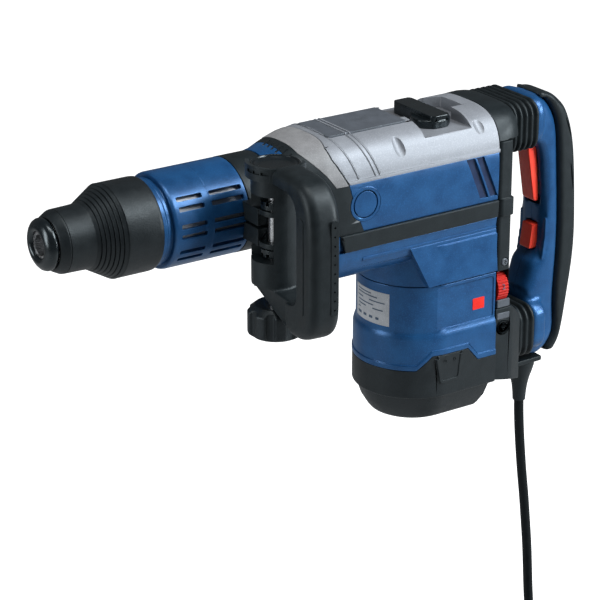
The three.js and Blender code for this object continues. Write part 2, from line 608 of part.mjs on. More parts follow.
function makeControls() {
  const { x, y, z, r } = WHEEL;
  const rim = [];
  for (let i = 0; i < 36; i++) {
    const angle = (Math.PI / 18) * i;
    const radius = i % 2 ? r : r - 0.7;
    rim.push([radius * Math.cos(angle), radius * Math.sin(angle)]);
  }
  const wheel = cut(prism(rim, -5.6, 5.6, "x"), rod(3.3, -10, 10, "x", 16));
  add("speed_wheel", wheel.translate([x, y, z]), RED);

  const { floor, top, reach } = LEVER;
  const hub = turned([[floor + GAP, 0], [floor + GAP, 17], [top - 1.5, 17], [top, 15.5], [top, 0]], "z", 36);
  const bar = prism(roundRect([-8.5, 8.5], [-reach, 0], 3), floor + GAP, top, "z", 1.2);
  const stem = rod(6, floor - 8, floor + 2, "z");
  add("selector_lever", join(hub, bar, stem).translate([LEVER.x, LEVER.y, 0]), BLACK);

  for (const [side, name] of [[1, "left"], [-1, "right"]]) {
    const head = join(rod(3.5, 48.8, 50.6, "y", 20), rod(2, 44.5, 49, "y", 12));
    const screw = cut(head, box([-2.2, 2.2], [49.8, 52], [-0.5, 0.5])).translate([-240, 0, -89]);
    add(`frame_screw_${name}`, side > 0 ? screw : screw.mirror([0, 1, 0]), STEEL);
  }
}

// ---------- auxiliary handle ----------

function makeAuxiliaryHandle() {
  const band = ring(40.4, 37.6, -12.7, 15.7, "x", 36);
  const lugBlock = join(box([BOLT.x - 13, BOLT.x + 13], [34, BOLT.y], [-16, 16]),
    rod(13, -16, 16, "z", 24).translate([BOLT.x, BOLT.y, 0]));
  const lug = cut(lugBlock, rod(39, -40, 40, "x", 30),
    rod(41.5, 15.7, 40, "x", 30));
  const split = box([-20, 40], [30, 90], [-1.2, 1.2]);
  const hole = rod(6.3, -40, 40, "z").translate([BOLT.x, BOLT.y, 0]);
  const shape = cut(join(band, lug), split.intersect(box([-20, 40], [39, 90], [-5, 5])), hole);
  add("clamp_band", shape, BLACK);

  const turn = (BOW_TURN * 180) / Math.PI;
  const place = (shape) => shape.rotate([0, 0, turn]).translate([BOLT.x, BOLT.y, 0]);
  const outer = [[-18.7, 50], [6, 55.5], [26, 58.6], [50, 58.8],
    ...smooth([[58, 58], [67, 55], [75, 48.5], [80.5, 39], [83.5, 27], [84.5, 14]], 4),
    ...smooth([[84.5, -40], [83, -55], [76, -67], [62, -74], [48, -75]], 7), [34, -71], [-18.7, -54]];
  const gap = [[0, 45], [40, 45], ...smooth([[50, 43.5], [57, 37], [60, 26]], 5),
    ...smooth([[60, -46], [58, -57], [51, -63], [42, -65]], 5), [32, -62], [16, -44], [0, -43]];
  const bow = cut(prism(outer, -14, 14, "y", 6), prism(gap, -30, 30, "y"));
  const turnedBow = bow.rotate([0, 0, 90]);
  const sleeve = join(rod(20, -42, 50, "z", 28), rod(18.7, -56, -30, "z", 28));
  const window = box([-30, 30], [-30, 5], [-16.4, 16.4]);
  const bowHole = rod(6.3, -90, 90, "z");
  const capSeat = rod(21.4, 50, 60, "z", 30);
  const knobRoom = rod(24.2, -100, -65.2, "z", 30);
  const lugRoom = rod(13.6, -16.4, 16.4, "z", 28);
  const opening = box([-2, 30], [-30, 0], [-25, 31]).rotate([0, 0, 57]);
  const frame = cut(join(turnedBow, sleeve), window, lugRoom, opening, capSeat, knobRoom, bowHole);
  add("bow_handle", place(frame), BLACK);

  add("clamp_bolt", rod(6, -84, 49, "z", 16).translate([BOLT.x, BOLT.y, 0]), STEEL);
  const cap = [[50.3, 0], [50.3, 20], [53, 21], [55, 19.5], [54, 16.5], [52.4, 14], [52.4, 0]];
  add("clamp_cap", turned(cap, "z", 30).translate([BOLT.x, BOLT.y, 0]), BLACK);

  const knob = [];
  const lobes = 8;
  for (let i = 0; i < lobes * 4; i++) {
    const angle = (2 * Math.PI * i) / (lobes * 4);
    const r = 23.5 - 2.2 * Math.max(0, Math.cos(lobes * angle)) ** 2;
    knob.push([r * Math.cos(angle), r * Math.sin(angle)]);
  }
  const crown = turned([[-92, 0], [-92, 21], [-89, 26], [-73, 26], [-65.5, 17], [-65.5, 0]], "z", 32);
  const grip = prism(knob, -92, -65.5, "z").intersect(crown);
  const bolt = rod(6.3, -84.3, -40, "z");
  add("clamp_knob", cut(grip, bolt).translate([BOLT.x, BOLT.y, 0]), BLACK);
}

// ---------- power cord ----------

const cordRoute = [[-302, 0, -253.3], [-302.6, 0, -268], [-304.5, 0, -292], [-308, 0, -324],
  [-312, 0, -354], [-315, 0, -380], [-318, 0, -408], [-320, 0, -434], [-321, 1, -458], [-321, 4, -478],
  [-321, 11, -496], [-321, 23, -508.5], [-321, 33, -514.6], [-321, 41, -515.5]];

function makeCord() {
  const boot = turned([[-253, 0], [-253, 5.6], [-241, 6.8], [-227, 9], [-217, 12], [-213.3, 13],
    [-213.3, 0]], "z", 20);
  add("strain_relief", boot.translate([cordRoute[0][0], 0, 0]), SOFT);
  const extrudePath = new THREE.CatmullRomCurve3(cordRoute.map((p) => new THREE.Vector3(...p)));
  const section = new THREE.Shape();
  const sides = 10;
  for (let i = 0; i < sides; i++) {
    const angle = (2 * Math.PI * i) / sides;
    section[i ? "lineTo" : "moveTo"]((CORD_D / 2) * Math.cos(angle), (CORD_D / 2) * Math.sin(angle));
  }
  const tube = new THREE.ExtrudeGeometry(section, { steps: 24, bevelEnabled: false, extrudePath });
  add("power_cord", solid(tube), SOFT);
  const { inner, outer, height } = COIL;
  const coil = ring(outer, inner, FLOOR_Z, FLOOR_Z + height, "z", 40);
  add("cord_coil", coil.translate([COIL.x, COIL.y, 0]), SOFT);
  makePlug();
}

function makePlug() {
  const body = turned([[0, 0], [0, 6.5], [14, 8], [17, 17.5], [20, 18.5], [52, 18.5], [54, 17.5], [54, 0]],
    "y", 24);
  const pins = [-9.5, 9.5].map((x) => rod(2.4, 53, 73, "y", 12).translate([x, 0, 0]));
  const plug = join(body, ...pins).rotate([0, 0, -90]);
  add("power_plug", plug.translate([COIL.x + 29, COIL.y + 88.5, FLOOR_Z + 18.8]), SOFT);
}

makeDustCap();
makeLockingSleeve();
makeToolHolder();
add("sleeve_spring", helix(23.2, 1.1, 109, 128, 5), STEEL);
makeBarrel();
makeHammerTube();
makeHammerPieces();
makeDrive();
makeGearHousing();
makeCovers();
makeMotorHousing();
makeBaseCap();
makeRearFrame();
add("upper_bellows", bellows([ARM_X, BLOCK_REAR_X - GAP], [-36, 36], [0, 46], 4, 6), SOFT);
add("lower_bellows", bellows([FOOT_X, LOWER_REAR_X - 3], [-34, 34], [-196.8, -147], 3, 8), SOFT);
makeHandle();
makeControls();
makeAuxiliaryHandle();
makeCord();

export default part;
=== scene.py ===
# The looks of an electric demolition hammer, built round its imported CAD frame.
# Shapes are written in millimetres in the row frame (+X to the chisel, +Y left, +Z up),
# and put() turns them into metres.
import json
import math
from contextlib import contextmanager

import bmesh
import bpy
from mathutils import Matrix, Vector


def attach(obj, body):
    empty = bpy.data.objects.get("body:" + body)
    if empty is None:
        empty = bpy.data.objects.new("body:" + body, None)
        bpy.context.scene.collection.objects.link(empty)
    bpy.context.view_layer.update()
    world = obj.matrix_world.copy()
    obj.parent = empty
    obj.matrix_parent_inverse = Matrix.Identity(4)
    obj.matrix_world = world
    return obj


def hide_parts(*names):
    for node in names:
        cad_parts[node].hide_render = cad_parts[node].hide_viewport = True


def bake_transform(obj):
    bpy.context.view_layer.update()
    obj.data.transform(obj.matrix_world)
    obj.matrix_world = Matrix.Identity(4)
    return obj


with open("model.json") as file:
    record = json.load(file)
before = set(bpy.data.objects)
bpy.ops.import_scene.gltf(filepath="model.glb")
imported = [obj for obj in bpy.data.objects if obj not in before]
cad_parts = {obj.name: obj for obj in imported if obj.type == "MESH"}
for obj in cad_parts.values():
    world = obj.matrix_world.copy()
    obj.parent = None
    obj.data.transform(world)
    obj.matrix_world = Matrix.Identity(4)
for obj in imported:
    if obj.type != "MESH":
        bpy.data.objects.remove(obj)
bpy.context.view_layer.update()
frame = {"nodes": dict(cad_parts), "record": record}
MM = 0.001

# Driving dimensions, as in the CAD source.
BARREL_R = 40.2
BODY_REAR_X = -231
INLAY_X = (-151.2, -71.3)  # the inlay in the top cover
HALF_WIDTH = 50
TOP_Z = 48.5
BELLY_DEPTH = 77
FLANGE_Z = 13
STRIP_Z = (-46, -30)
MOTOR_X = -178
MOTOR_TOP_Z = -96
FRAME_REAR_X = -247
BLOCK_REAR_X = -256
LOWER_REAR_X = -268
ARM_X = -286
FOOT_X = -291
PIVOT = (-279, -172)
LEVER_X, LEVER_Y, LEVER_REACH, LEVER_FLOOR, LEVER_TOP = -184, 12, 42, 37.5, 48.8
BOLT_X, BOLT_Y = 10, 68
BOW_TURN = -0.09
WHEEL = (-239, 35.5, -114.5)
WHEEL_R = 16
EMBLEM = (-91, -6)  # round boss on the side panel, X and Z
GAP = 0.3
SIDES = ((1, "left"), (-1, "right"))  # the sign of Y, and the side's name
CORD_D = 9
FLOOR_Z = -520
COIL_X, COIL_Y = -269, 91


def placed(name, data):
    """A new object in the scene."""
    thing = bpy.data.objects.new(name, data)
    bpy.context.scene.collection.objects.link(thing)
    return thing


# ---------------------------------------------------------------- camera, light, floor

OBJECT_MIDDLE = (-0.1, 0, -0.05)
COOL = (0.93, 0.97, 1)


def aim(thing, target):
    direction = Vector(target) - thing.location
    thing.rotation_euler = direction.to_track_quat("-Z", "Y").to_euler()


CAMERA_PLACE = (1.0392, 1.6404, 0.6886)
CAMERA_AZIMUTH = math.radians(146.2)  # round +Z, from -Y by way of +X
CAMERA_ELEVATION = math.radians(21.8)


def make_camera():
    data = bpy.data.cameras.new("camera")
    data.lens = 150
    data.sensor_width = 36
    camera = placed("camera", data)
    camera.location = CAMERA_PLACE
    flat = math.cos(CAMERA_ELEVATION)
    back = Vector((math.sin(CAMERA_AZIMUTH) * flat, -math.cos(CAMERA_AZIMUTH) * flat,
                   math.sin(CAMERA_ELEVATION)))
    aim(camera, camera.location - back)
    bpy.context.scene.camera = camera


def area_light(name, place, size, power, tint=COOL):
    data = bpy.data.lights.new(name, "AREA")
    data.shape = "RECTANGLE"
    data.size, data.size_y = size
    data.energy = power
    data.color = tint
    light = placed(name, data)
    light.location = place
    aim(light, OBJECT_MIDDLE)


def make_studio():
    world = bpy.data.worlds.new("studio")
    world.use_nodes = True
    background = world.node_tree.nodes["Background"]
    background.inputs["Color"].default_value = (1, 1, 1, 1)
    background.inputs["Strength"].default_value = 0.1
    bpy.context.scene.world = world
    bpy.context.scene.view_settings.view_transform = "Standard"
    area_light("side_softbox", (-0.9, 0.9, 1.15), (0.8, 0.7), 30)
    area_light("low_softbox", (-0.95, 0.85, 0.2), (0.4, 0.35), 11)
    area_light("nose_softbox", (1.5, -0.2, 0.3), (0.5, 1.0), 14)
    area_light("overhead_softbox", (0.1, 0.3, 1.5), (1.0, 0.4), 12, (1, 1, 1))

    floor_material, tree, shader = principled("studio_floor")
    shader.inputs["Base Color"].default_value = (0.5, 0.5, 0.5, 1)
    shader.inputs["Roughness"].default_value = 1
    shader.inputs["Emission Color"].default_value = (1, 1, 1, 1)
    seen = tree.nodes.new("ShaderNodeLightPath")
    tree.links.new(seen.outputs["Is Camera Ray"], shader.inputs["Emission Strength"])
    mesh = bpy.data.meshes.new("floor")
    reach = 6
    corners = [(-reach, -reach, 0), (reach, -reach, 0), (reach, reach, 0), (-reach, reach, 0)]
    mesh.from_pydata(corners, [], [(0, 1, 2, 3)])
    mesh.materials.append(floor_material)
    floor = placed("floor", mesh)
    floor.location.z = FLOOR_Z * MM


# ---------------------------------------------------------------- materials

def principled(name):
    material = bpy.data.materials.new(name)
    material.use_nodes = True
    tree = material.node_tree
    return material, tree, tree.nodes["Principled BSDF"]


def noise(tree, size_mm, detail=2.0, stretch=(1, 1, 1)):
    """Noise in object space whose features are about size_mm across."""
    place = tree.nodes.new("ShaderNodeTexCoord")
    scaled = tree.nodes.new("ShaderNodeMapping")
    scaled.inputs["Scale"].default_value = stretch
    texture = tree.nodes.new("ShaderNodeTexNoise")
    texture.inputs["Scale"].default_value = 1000 / size_mm
    texture.inputs["Detail"].default_value = detail
    tree.links.new(place.outputs["Object"], scaled.inputs["Vector"])
    tree.links.new(scaled.outputs["Vector"], texture.inputs["Vector"])
    return texture.outputs["Fac"]


def remap(tree, value, low, high, start=0.3, end=0.7):
    node = tree.nodes.new("ShaderNodeMapRange")
    node.inputs["From Min"].default_value = start
    node.inputs["From Max"].default_value = end
    node.inputs["To Min"].default_value = low
    node.inputs["To Max"].default_value = high
    tree.links.new(value, node.inputs["Value"])
    return node.outputs["Result"]


def mix(tree, factor, first, second):
    """Blends two colours; each is a colour or a socket."""
    node = tree.nodes.new("ShaderNodeMix")
    node.data_type = "RGBA"
    tree.links.new(factor, node.inputs["Factor"])
    for socket, value in ((node.inputs["A"], first), (node.inputs["B"], second)):
        if isinstance(value, tuple):
            socket.default_value = (*value, 1)
        else:
            tree.links.new(value, socket)
    return node.outputs["Result"]


def worn_edges(tree, colour, highlight_colour, start=0.6, end=0.68):
    """Painted highlight: lighter along sharp outer edges, where the mesh's pointiness goes from start to end.
    """
    geometry = tree.nodes.new("ShaderNodeNewGeometry")
    edge = remap(tree, geometry.outputs["Pointiness"], 0, 1, start, end)
    return mix(tree, edge, colour, highlight_colour)


def bumps(tree, *layers):
    """Stacks (noise size in mm, height in mm) layers into one normal."""
    normal = None
    for size, height in layers:
        bump = tree.nodes.new("ShaderNodeBump")
        bump.inputs["Strength"].default_value = 1
        bump.inputs["Distance"].default_value = height * MM
        tree.links.new(noise(tree, size), bump.inputs["Height"])
        if normal is not None:
            tree.links.new(normal, bump.inputs["Normal"])
        normal = bump.outputs["Normal"]
    return normal


def surface(name, dark, light, roughness, grain, metallic=0.0, edge=None, shine=0.5, patch_mm=9.0):
    """A moulded or cast finish: fine speckle, slow mottling, uneven gloss and a grained surface; an edge
    colour adds a painted highlight along sharp outer edges.
    """
    material, tree, shader = principled(name)
    slow = noise(tree, patch_mm, 3)
    fine = noise(tree, 0.9, 1)
    mottled = mix(tree, remap(tree, slow, 0, 1), dark, light)
    speck = tuple(min(1, 1.45 * c) for c in light)
    colour = mix(tree, remap(tree, fine, 0, 0.5, 0.5, 0.75), mottled, speck)
    if edge:
        colour = worn_edges(tree, colour, edge)
    tree.links.new(colour, shader.inputs["Base Color"])
    tree.links.new(remap(tree, slow, roughness[0], roughness[1]), shader.inputs["Roughness"])
    tree.links.new(bumps(tree, *grain), shader.inputs["Normal"])
    shader.inputs["Metallic"].default_value = metallic
    shader.inputs["Specular IOR Level"].default_value = shine
    shader.inputs["Specular Tint"].default_value = (0.86, 0.96, 1, 1)
    return material


def brushed(name, dark, light, roughness, stretch, size_mm=1.2):
    """Bare metal with turning or brushing marks across the stretch."""
    material, tree, shader = principled(name)
    marks = noise(tree, size_mm, 4, stretch)
    slow = noise(tree, 14, 3)
    colour = mix(tree, remap(tree, marks, 0, 1), dark, light)
    tree.links.new(mix(tree, remap(tree, slow, 0, 0.35), colour, dark), shader.inputs["Base Color"])
    tree.links.new(remap(tree, marks, roughness[0], roughness[1]), shader.inputs["Roughness"])
    bump = tree.nodes.new("ShaderNodeBump")
    bump.inputs["Distance"].default_value = 0.02 * MM
    tree.links.new(marks, bump.inputs["Height"])
    tree.links.new(bump.outputs["Normal"], shader.inputs["Normal"])
    shader.inputs["Metallic"].default_value = 1
    return material


def make_materials():
    """Every finish, with its colours and roughness from low to high and its grain as bump layers."""
    fine = ((0.7, 0.035), (2.6, 0.03))
    glossy = ((0.7, 0.03), (3, 0.03))
    # The edge colours are painted highlights along sharp outer edges.
    return {
        "blue": surface("blue_moulding", (0.008, 0.056, 0.165), (0.012, 0.082, 0.225), (0.3, 0.37), fine,
                        metallic=0.35, edge=(0.07, 0.27, 0.55), patch_mm=16),
        # Painted shade: a darker blue for the floors of the panel slots.
        "slot_shade": surface("painted_slot_shade_blue", (0.003, 0.012, 0.05), (0.004, 0.017, 0.065), (0.35, 0.42),
                        fine),
        "black": surface("black_moulding", (0.0045, 0.007, 0.0085), (0.0075, 0.011, 0.013), (0.42, 0.52),
                         ((0.8, 0.06), (2.4, 0.03)), edge=(0.16, 0.175, 0.185), shine=0.32),
        "grained": surface("coarse_black_moulding", (0.0045, 0.0065, 0.008), (0.009, 0.012, 0.014),
                           (0.4, 0.5), ((1.0, 0.13), (3, 0.05)), edge=(0.06, 0.067, 0.073), shine=0.36),
        "satin": surface("satin_black_moulding", (0.004, 0.006, 0.0075), (0.006, 0.009, 0.011), (0.2, 0.28),
                         ((0.9, 0.02), (6, 0.04)), edge=(0.14, 0.155, 0.165), shine=0.5),
        "rubber": surface("soft_rubber", (0.005, 0.0075, 0.009), (0.0085, 0.012, 0.014), (0.42, 0.52),
                          ((0.6, 0.03), (5, 0.08)), edge=(0.05, 0.057, 0.062), shine=0.32),
        "cord": surface("cord_rubber", (0.002, 0.003, 0.0038), (0.004, 0.0058, 0.0068), (0.45, 0.58),
                        ((0.8, 0.03), (7, 0.06)), shine=0.16),
        # The speed wheel's red: the control red darkened, a painted shade.
        "shaded_red": surface("red_moulding_painted_shade", (0.36, 0.01, 0.006), (0.44, 0.014, 0.008), (0.4, 0.48),
                            glossy, shine=0.12),
        # The trigger and button's red: the control red brightened, a painted highlight for light they don't
        # get.
        "lit_red": surface("red_moulding_painted_lit", (0.95, 0.05, 0.028), (1, 0.075, 0.04), (0.34, 0.42),
                              glossy, shine=0.4),
        "red": surface("red_moulding", (0.68, 0.016, 0.009), (0.8, 0.026, 0.013), (0.32, 0.42), glossy,
                       shine=0.3),
        "silver": surface("cast_aluminium", (0.2, 0.212, 0.235), (0.24, 0.254, 0.28), (0.46, 0.54),
                          ((0.55, 0.05), (2.2, 0.03)), metallic=0.3, edge=(0.85, 0.86, 0.88), patch_mm=20),
        # Painted highlight: the lit facet of the black front shroud, in pale grey.
        "pale": surface("painted_lit_facet_grey", (0.17, 0.17, 0.175), (0.22, 0.22, 0.225), (0.45, 0.55),
                        ((0.8, 0.06), (2.5, 0.03)), edge=(0.4, 0.4, 0.41)),
        "grey": surface("grey_panel", (0.06, 0.068, 0.08), (0.08, 0.09, 0.107), (0.36, 0.44),
                        ((0.8, 0.05), (2.5, 0.03)), edge=(0.3, 0.31, 0.33)),
        "label": surface("pale_label", (0.36, 0.37, 0.39), (0.44, 0.45, 0.47), (0.4, 0.5), ((0.5, 0.01),)),
        "print": surface("label_print", (0.03, 0.05, 0.09), (0.05, 0.08, 0.13), (0.4, 0.5), ((0.5, 0.01),)),
        "steel": brushed("ground_steel", (0.42, 0.43, 0.44), (0.62, 0.62, 0.63), (0.22, 0.38), (0.06, 1, 1)),
        "brass": brushed("plug_pin_brass", (0.6, 0.5, 0.28), (0.75, 0.64, 0.38), (0.2, 0.34), (0.05, 1, 1)),
        "copper": brushed("wound_copper", (0.5, 0.2, 0.09), (0.72, 0.34, 0.18), (0.25, 0.4), (1, 1, 0.2)),
    }


# The record's material slot for each finish. A slot's first finish also goes on its plain CAD solids.
SLOT_OF = {"blue": "blue_shell", "slot_shade": "blue_shell", "black": "black_shell", "grained": "black_shell",
           "satin": "black_shell", "print": "black_shell", "rubber": "soft_rubber", "cord": "soft_rubber",
           "red": "red_control", "shaded_red": "red_control", "lit_red": "red_control",
           "silver": "cast_aluminium", "grey": "grey_panel", "pale": "grey_panel", "label": "grey_panel",
           "steel": "bright_steel", "brass": "bright_steel", "copper": "copper_winding"}


# ---------------------------------------------------------------- solids, in millimetres

@contextmanager
def edited(mesh):
    """The mesh as a bmesh that is written back at the end."""
    shape = bmesh.new()
    shape.from_mesh(mesh)
    yield shape
    shape.to_mesh(mesh)
    shape.free()


def put(vertices, faces):
    """A closed mesh object from millimetre points, with its faces turned outwards."""
    mesh = bpy.data.meshes.new("solid")
    mesh.from_pydata([Vector(v) * MM for v in vertices], [], faces)
    with edited(mesh) as shape:
        bmesh.ops.remove_doubles(shape, verts=shape.verts, dist=0.002 * MM)
        bmesh.ops.recalc_face_normals(shape, faces=shape.faces)
        if shape.calc_volume(signed=True) < 0:
            bmesh.ops.reverse_faces(shape, faces=shape.faces)
    return placed("solid", mesh)


def bake(thing):
    """Applies a thing's modifiers to its mesh."""
    graph = bpy.context.evaluated_depsgraph_get()
    mesh = bpy.data.meshes.new_from_object(thing.evaluated_get(graph))
    thing.modifiers.clear()
    old = thing.data
    thing.data = mesh
    bpy.data.meshes.remove(old)
    return thing


def clone(thing):
    """A copy, for a solid that two operations need."""
    return placed("solid", thing.data.copy())


def drop(thing):
    """Removes a solid that has done its work."""
    mesh = thing.data
    bpy.data.objects.remove(thing)
    bpy.data.meshes.remove(mesh)


def boolean(base, tool, operation):
    """Joins, cuts or keeps the common part; the exact solver steps in where the fast one does nothing."""
    before = len(base.data.vertices)
    for solver in ("MANIFOLD", "EXACT"):
        change = base.modifiers.new("boolean", "BOOLEAN")
        change.operation = operation
        change.object = tool
        change.solver = solver
        bake(base)
        if len(base.data.vertices) not in (0, before):
            break
    drop(tool)
    return base


def cut(base, *tools):
    for tool in tools:
        boolean(base, tool, "DIFFERENCE")
    return base


def join(base, *others):
    for other in others:
        boolean(base, other, "UNION")
    return base


def common(base, *others):
    for other in others:
        boolean(base, other, "INTERSECT")
    return base


def gather(things):
    """Several separate solids as one object."""
    mesh = bpy.data.meshes.new("solid")
    with edited(mesh) as shape:
        for thing in things:
            shape.from_mesh(thing.data)
            drop(thing)
    return placed("solid", mesh)


def moved(thing, x=0.0, y=0.0, z=0.0, turn=0.0, axis="Z"):
    """Turns a thing about an axis through the origin, in radians, then shifts it."""
    shift = Matrix.Translation(Vector((x, y, z)) * MM)
    thing.data.transform(shift @ Matrix.Rotation(turn, 4, axis))
    return thing


def mirrored(thing):
    """The thing on the tool's other side."""
    thing.data.transform(Matrix.Diagonal((1, -1, 1, 1)))
    thing.data.flip_normals()
    return thing


def on_side(thing, side):
    """A thing drawn on the tool's left, put on the side whose Y sign is given."""
    return thing if side > 0 else mirrored(thing)


def block(x, y, z):
    low, high = zip(x, y, z)
    corners = [(a, b, c) for a in (low[0], high[0]) for b in (low[1], high[1]) for c in (low[2], high[2])]
    return put(corners, [(0, 1, 3, 2), (4, 6, 7, 5), (0, 4, 5, 1), (2, 3, 7, 6), (0, 2, 6, 4), (1, 5, 7, 3)])


def on_axis(axis, along, a, b):
    return {"x": (along, a, b), "y": (a, along, b), "z": (a, b, along)}[axis]


def turned(profile, axis, sides=96):
    """A solid of revolution from [(position along the axis, radius)]."""
    vertices = []
    for along, radius in profile:
        for i in range(sides):
            angle = 2 * math.pi * i / sides
            vertices.append(on_axis(axis, along, radius * math.cos(angle), radius * math.sin(angle)))
    rings = len(profile)
    closed = profile[0][1] > 0
    faces = []
    for k in range(rings if closed else rings - 1):
        for i in range(sides):
            j = (i + 1) % sides
            below, above = k * sides, ((k + 1) % rings) * sides
            faces.append((below + i, below + j, above + j, above + i))
    return put(vertices, faces)


def rod(radius, start, end, axis, sides=48):
    return turned([(start, 0), (start, radius), (end, radius), (end, 0)], axis, sides)


def tube(outer, inner, start, end, axis, sides=96):
    return turned([(start, inner), (start, outer), (end, outer), (end, inner)], axis, sides)


def skin(loops):
    """A solid through closed loops of points, with flat ends."""
    count = len(loops[0])
    vertices = [p for loop in loops for p in loop]
    faces = [tuple(range(count)), tuple(range(len(vertices) - count, len(vertices)))]
    for k in range(len(loops) - 1):
        for i in range(count):
            j = (i + 1) % count
            faces.append((k * count + i, k * count + j, (k + 1) * count + j, (k + 1) * count + i))
    return put(vertices, faces)


def prism(outline, start=-60, end=60, axis="y"):
    """A flat outline pushed along an axis: (x, z) along Y, (x, y) along Z, (y, z) along X."""
    return skin([[on_axis(axis, along, a, b) for a, b in outline] for along in (start, end)])


def round_rect(a, b, r, steps=8):
    points = []
    corners = ((a[1] - r, b[1] - r), (a[0] + r, b[1] - r), (a[0] + r, b[0] + r), (a[1] - r, b[0] + r))
    for quarter, (ca, cb) in enumerate(corners):
        for i in range(steps + 1):
            angle = math.pi / 2 * (quarter + i / steps)
            points.append((ca + r * math.cos(angle), cb + r * math.sin(angle)))
    return points


def smooth(points, steps):
    """A Catmull-Rom curve through points, with steps spans to each stretch."""
    ends = [points[0], *points, points[-1]]
    curve = []
    for k in range(1, len(ends) - 2):
        p0, p1, p2, p3 = (Vector(ends[k + i]) for i in (-1, 0, 1, 2))
        for i in range(steps):
            t = i / steps
            curve.append(tuple(0.5 * (2 * p1 + (p2 - p0) * t + (2 * p0 - 5 * p1 + 4 * p2 - p3) * t * t
                                      + (3 * p1 - p0 - 3 * p2 + p3) * t ** 3)))
    return [*curve, tuple(points[-1])]


def capsule(centre, direction, half_length, width, depth):
    """A long round-ended lens, for dimples."""
    vertices, faces = [], []
    along = Vector(direction).normalized()
    across = Vector((1, 0, 0))
    out = along.cross(across)
    rows, sides = 16, 24
    for i in range(rows + 1):
        lean = math.pi * i / rows
        for j in range(sides):
            angle = 2 * math.pi * j / sides
            point = (along * math.cos(lean) * half_length
                     + math.sin(lean) * (across * math.cos(angle) * width + out * math.sin(angle) * depth))
            vertices.append(tuple(Vector(centre) + point))
    for i in range(rows):
        for j in range(sides):
            k = (j + 1) % sides
            faces.append((i * sides + j, i * sides + k, (i + 1) * sides + k, (i + 1) * sides + j))
    return put(vertices, faces)


def softened(thing, voxel, rounds, factor=0.6):
    """Melts a union of plain solids into one moulded form with filleted joints."""
    remesh = thing.modifiers.new("remesh", "REMESH")
    remesh.mode = "VOXEL"
    remesh.voxel_size = voxel * MM
    relax = thing.modifiers.new("relax", "SMOOTH")
    relax.factor = factor
    relax.iterations = rounds
    return bake(thing)


def rounded(thing, radius, angle, segments=5):
    """Rounds a thing's edges that are sharper than the angle."""
    ease = thing.modifiers.new("round", "BEVEL")
    ease.width = radius * MM
    ease.segments = segments
    ease.limit_method = "ANGLE"
    ease.angle_limit = math.radians(angle)
    ease.use_clamp_overlap = False
    return bake(thing)


def shade(thing, angle):
    """Smooth faces, with edges sharper than the angle kept crisp."""
    limit = math.radians(angle)
    with edited(thing.data) as shape:
        for face in shape.faces:
            face.smooth = True
        for edge in shape.edges:
            edge.smooth = len(edge.link_faces) == 2 and edge.calc_face_angle(0) < limit
    even = thing.modifiers.new("even", "WEIGHTED_NORMAL")
    even.keep_sharp = True
    even.weight = 60
    bake(thing)


def piece(thing, name, body, finish, stands_for=(), bevel=0.5, angle=35):
    """Finishes a solid as a shown piece: eased edges, shading, material and body.

    A piece whose body is None is attached to no body.
    """
    with edited(thing.data) as shape:
        bmesh.ops.remove_doubles(shape, verts=shape.verts, dist=0.03 * MM)
    if bevel:
        rounded(thing, bevel, angle, 2)
    thing.name = name
    thing.data.name = name
    thing.data.materials.clear()
    thing.data.materials.append(looks[finish])
    shade(thing, angle)
    if body:
        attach(thing, body)
    if stands_for:
        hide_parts(*stands_for)
    return thing


# ---------------------------------------------------------------- power cord

def coil_points():
    """Turns wound in layers, each layer out or in across three columns, clockwise from above."""
    columns = (57.1, 47.8, 38.5)
    layer_height = 9.2
    step = 0.12  # of a turn, to move by one column or one layer
    moves = [(1.0, "in"), (2.0, "in"), (2.88, "up"), (3.76, "out"), (4.76, "out"), (5.64, "up"),
             (6.52, "in"), (7.52, "in"), (8.4, "up"), (9.28, "out"), (10.28, "out")]
    leave = 11.125
    points = []
    per_turn = 24
    for i in range(1, int(leave * per_turn) + 1):
        turn = i / per_turn
        column, layer = 0.0, 0.0
        for at, move in moves:
            t = min(1, max(0, (turn - at + step) / step))
            eased = t * t * (3 - 2 * t)
            column += {"in": eased, "out": -eased, "up": 0}[move]
            layer += eased if move == "up" else 0
        low = min(int(column), 1)
        radius = columns[low] + (columns[low + 1] - columns[low]) * (column - low)
        angle = math.pi - 2 * math.pi * turn
        points.append((COIL_X + radius * math.cos(angle), COIL_Y + radius * math.sin(angle),
                       FLOOR_Z + CORD_D / 2 + layer * layer_height))
    return points


# The cord hangs from its boot, turns along the floor and enters the coil.
HANGING = [(-302, 0, -253.3), (-302.6, 0, -268), (-304.5, 0, -292), (-308, 0, -324), (-312, 0, -354),
           (-315, 0, -380), (-318, 0, -408), (-320, 0, -434), (-321, 1, -458), (-321.2, 4, -478),
           (-321.6, 11, -496), (-322.4, 23, -508.5), (-323.4, 34, -514.3), (-324.6, 48, -515.5),
           (-325.8, 70, -515.5), (-326.1, 91, -515.5)]
# It leaves the top layer, comes down and ends in the plug.
TAIL = [(-295, 145.5, -490.5), (-279, 160, -497.5), (-264, 171, -504), (-251.5, 177.6, -504.5),
        (-240, 179.5, -501.4)]


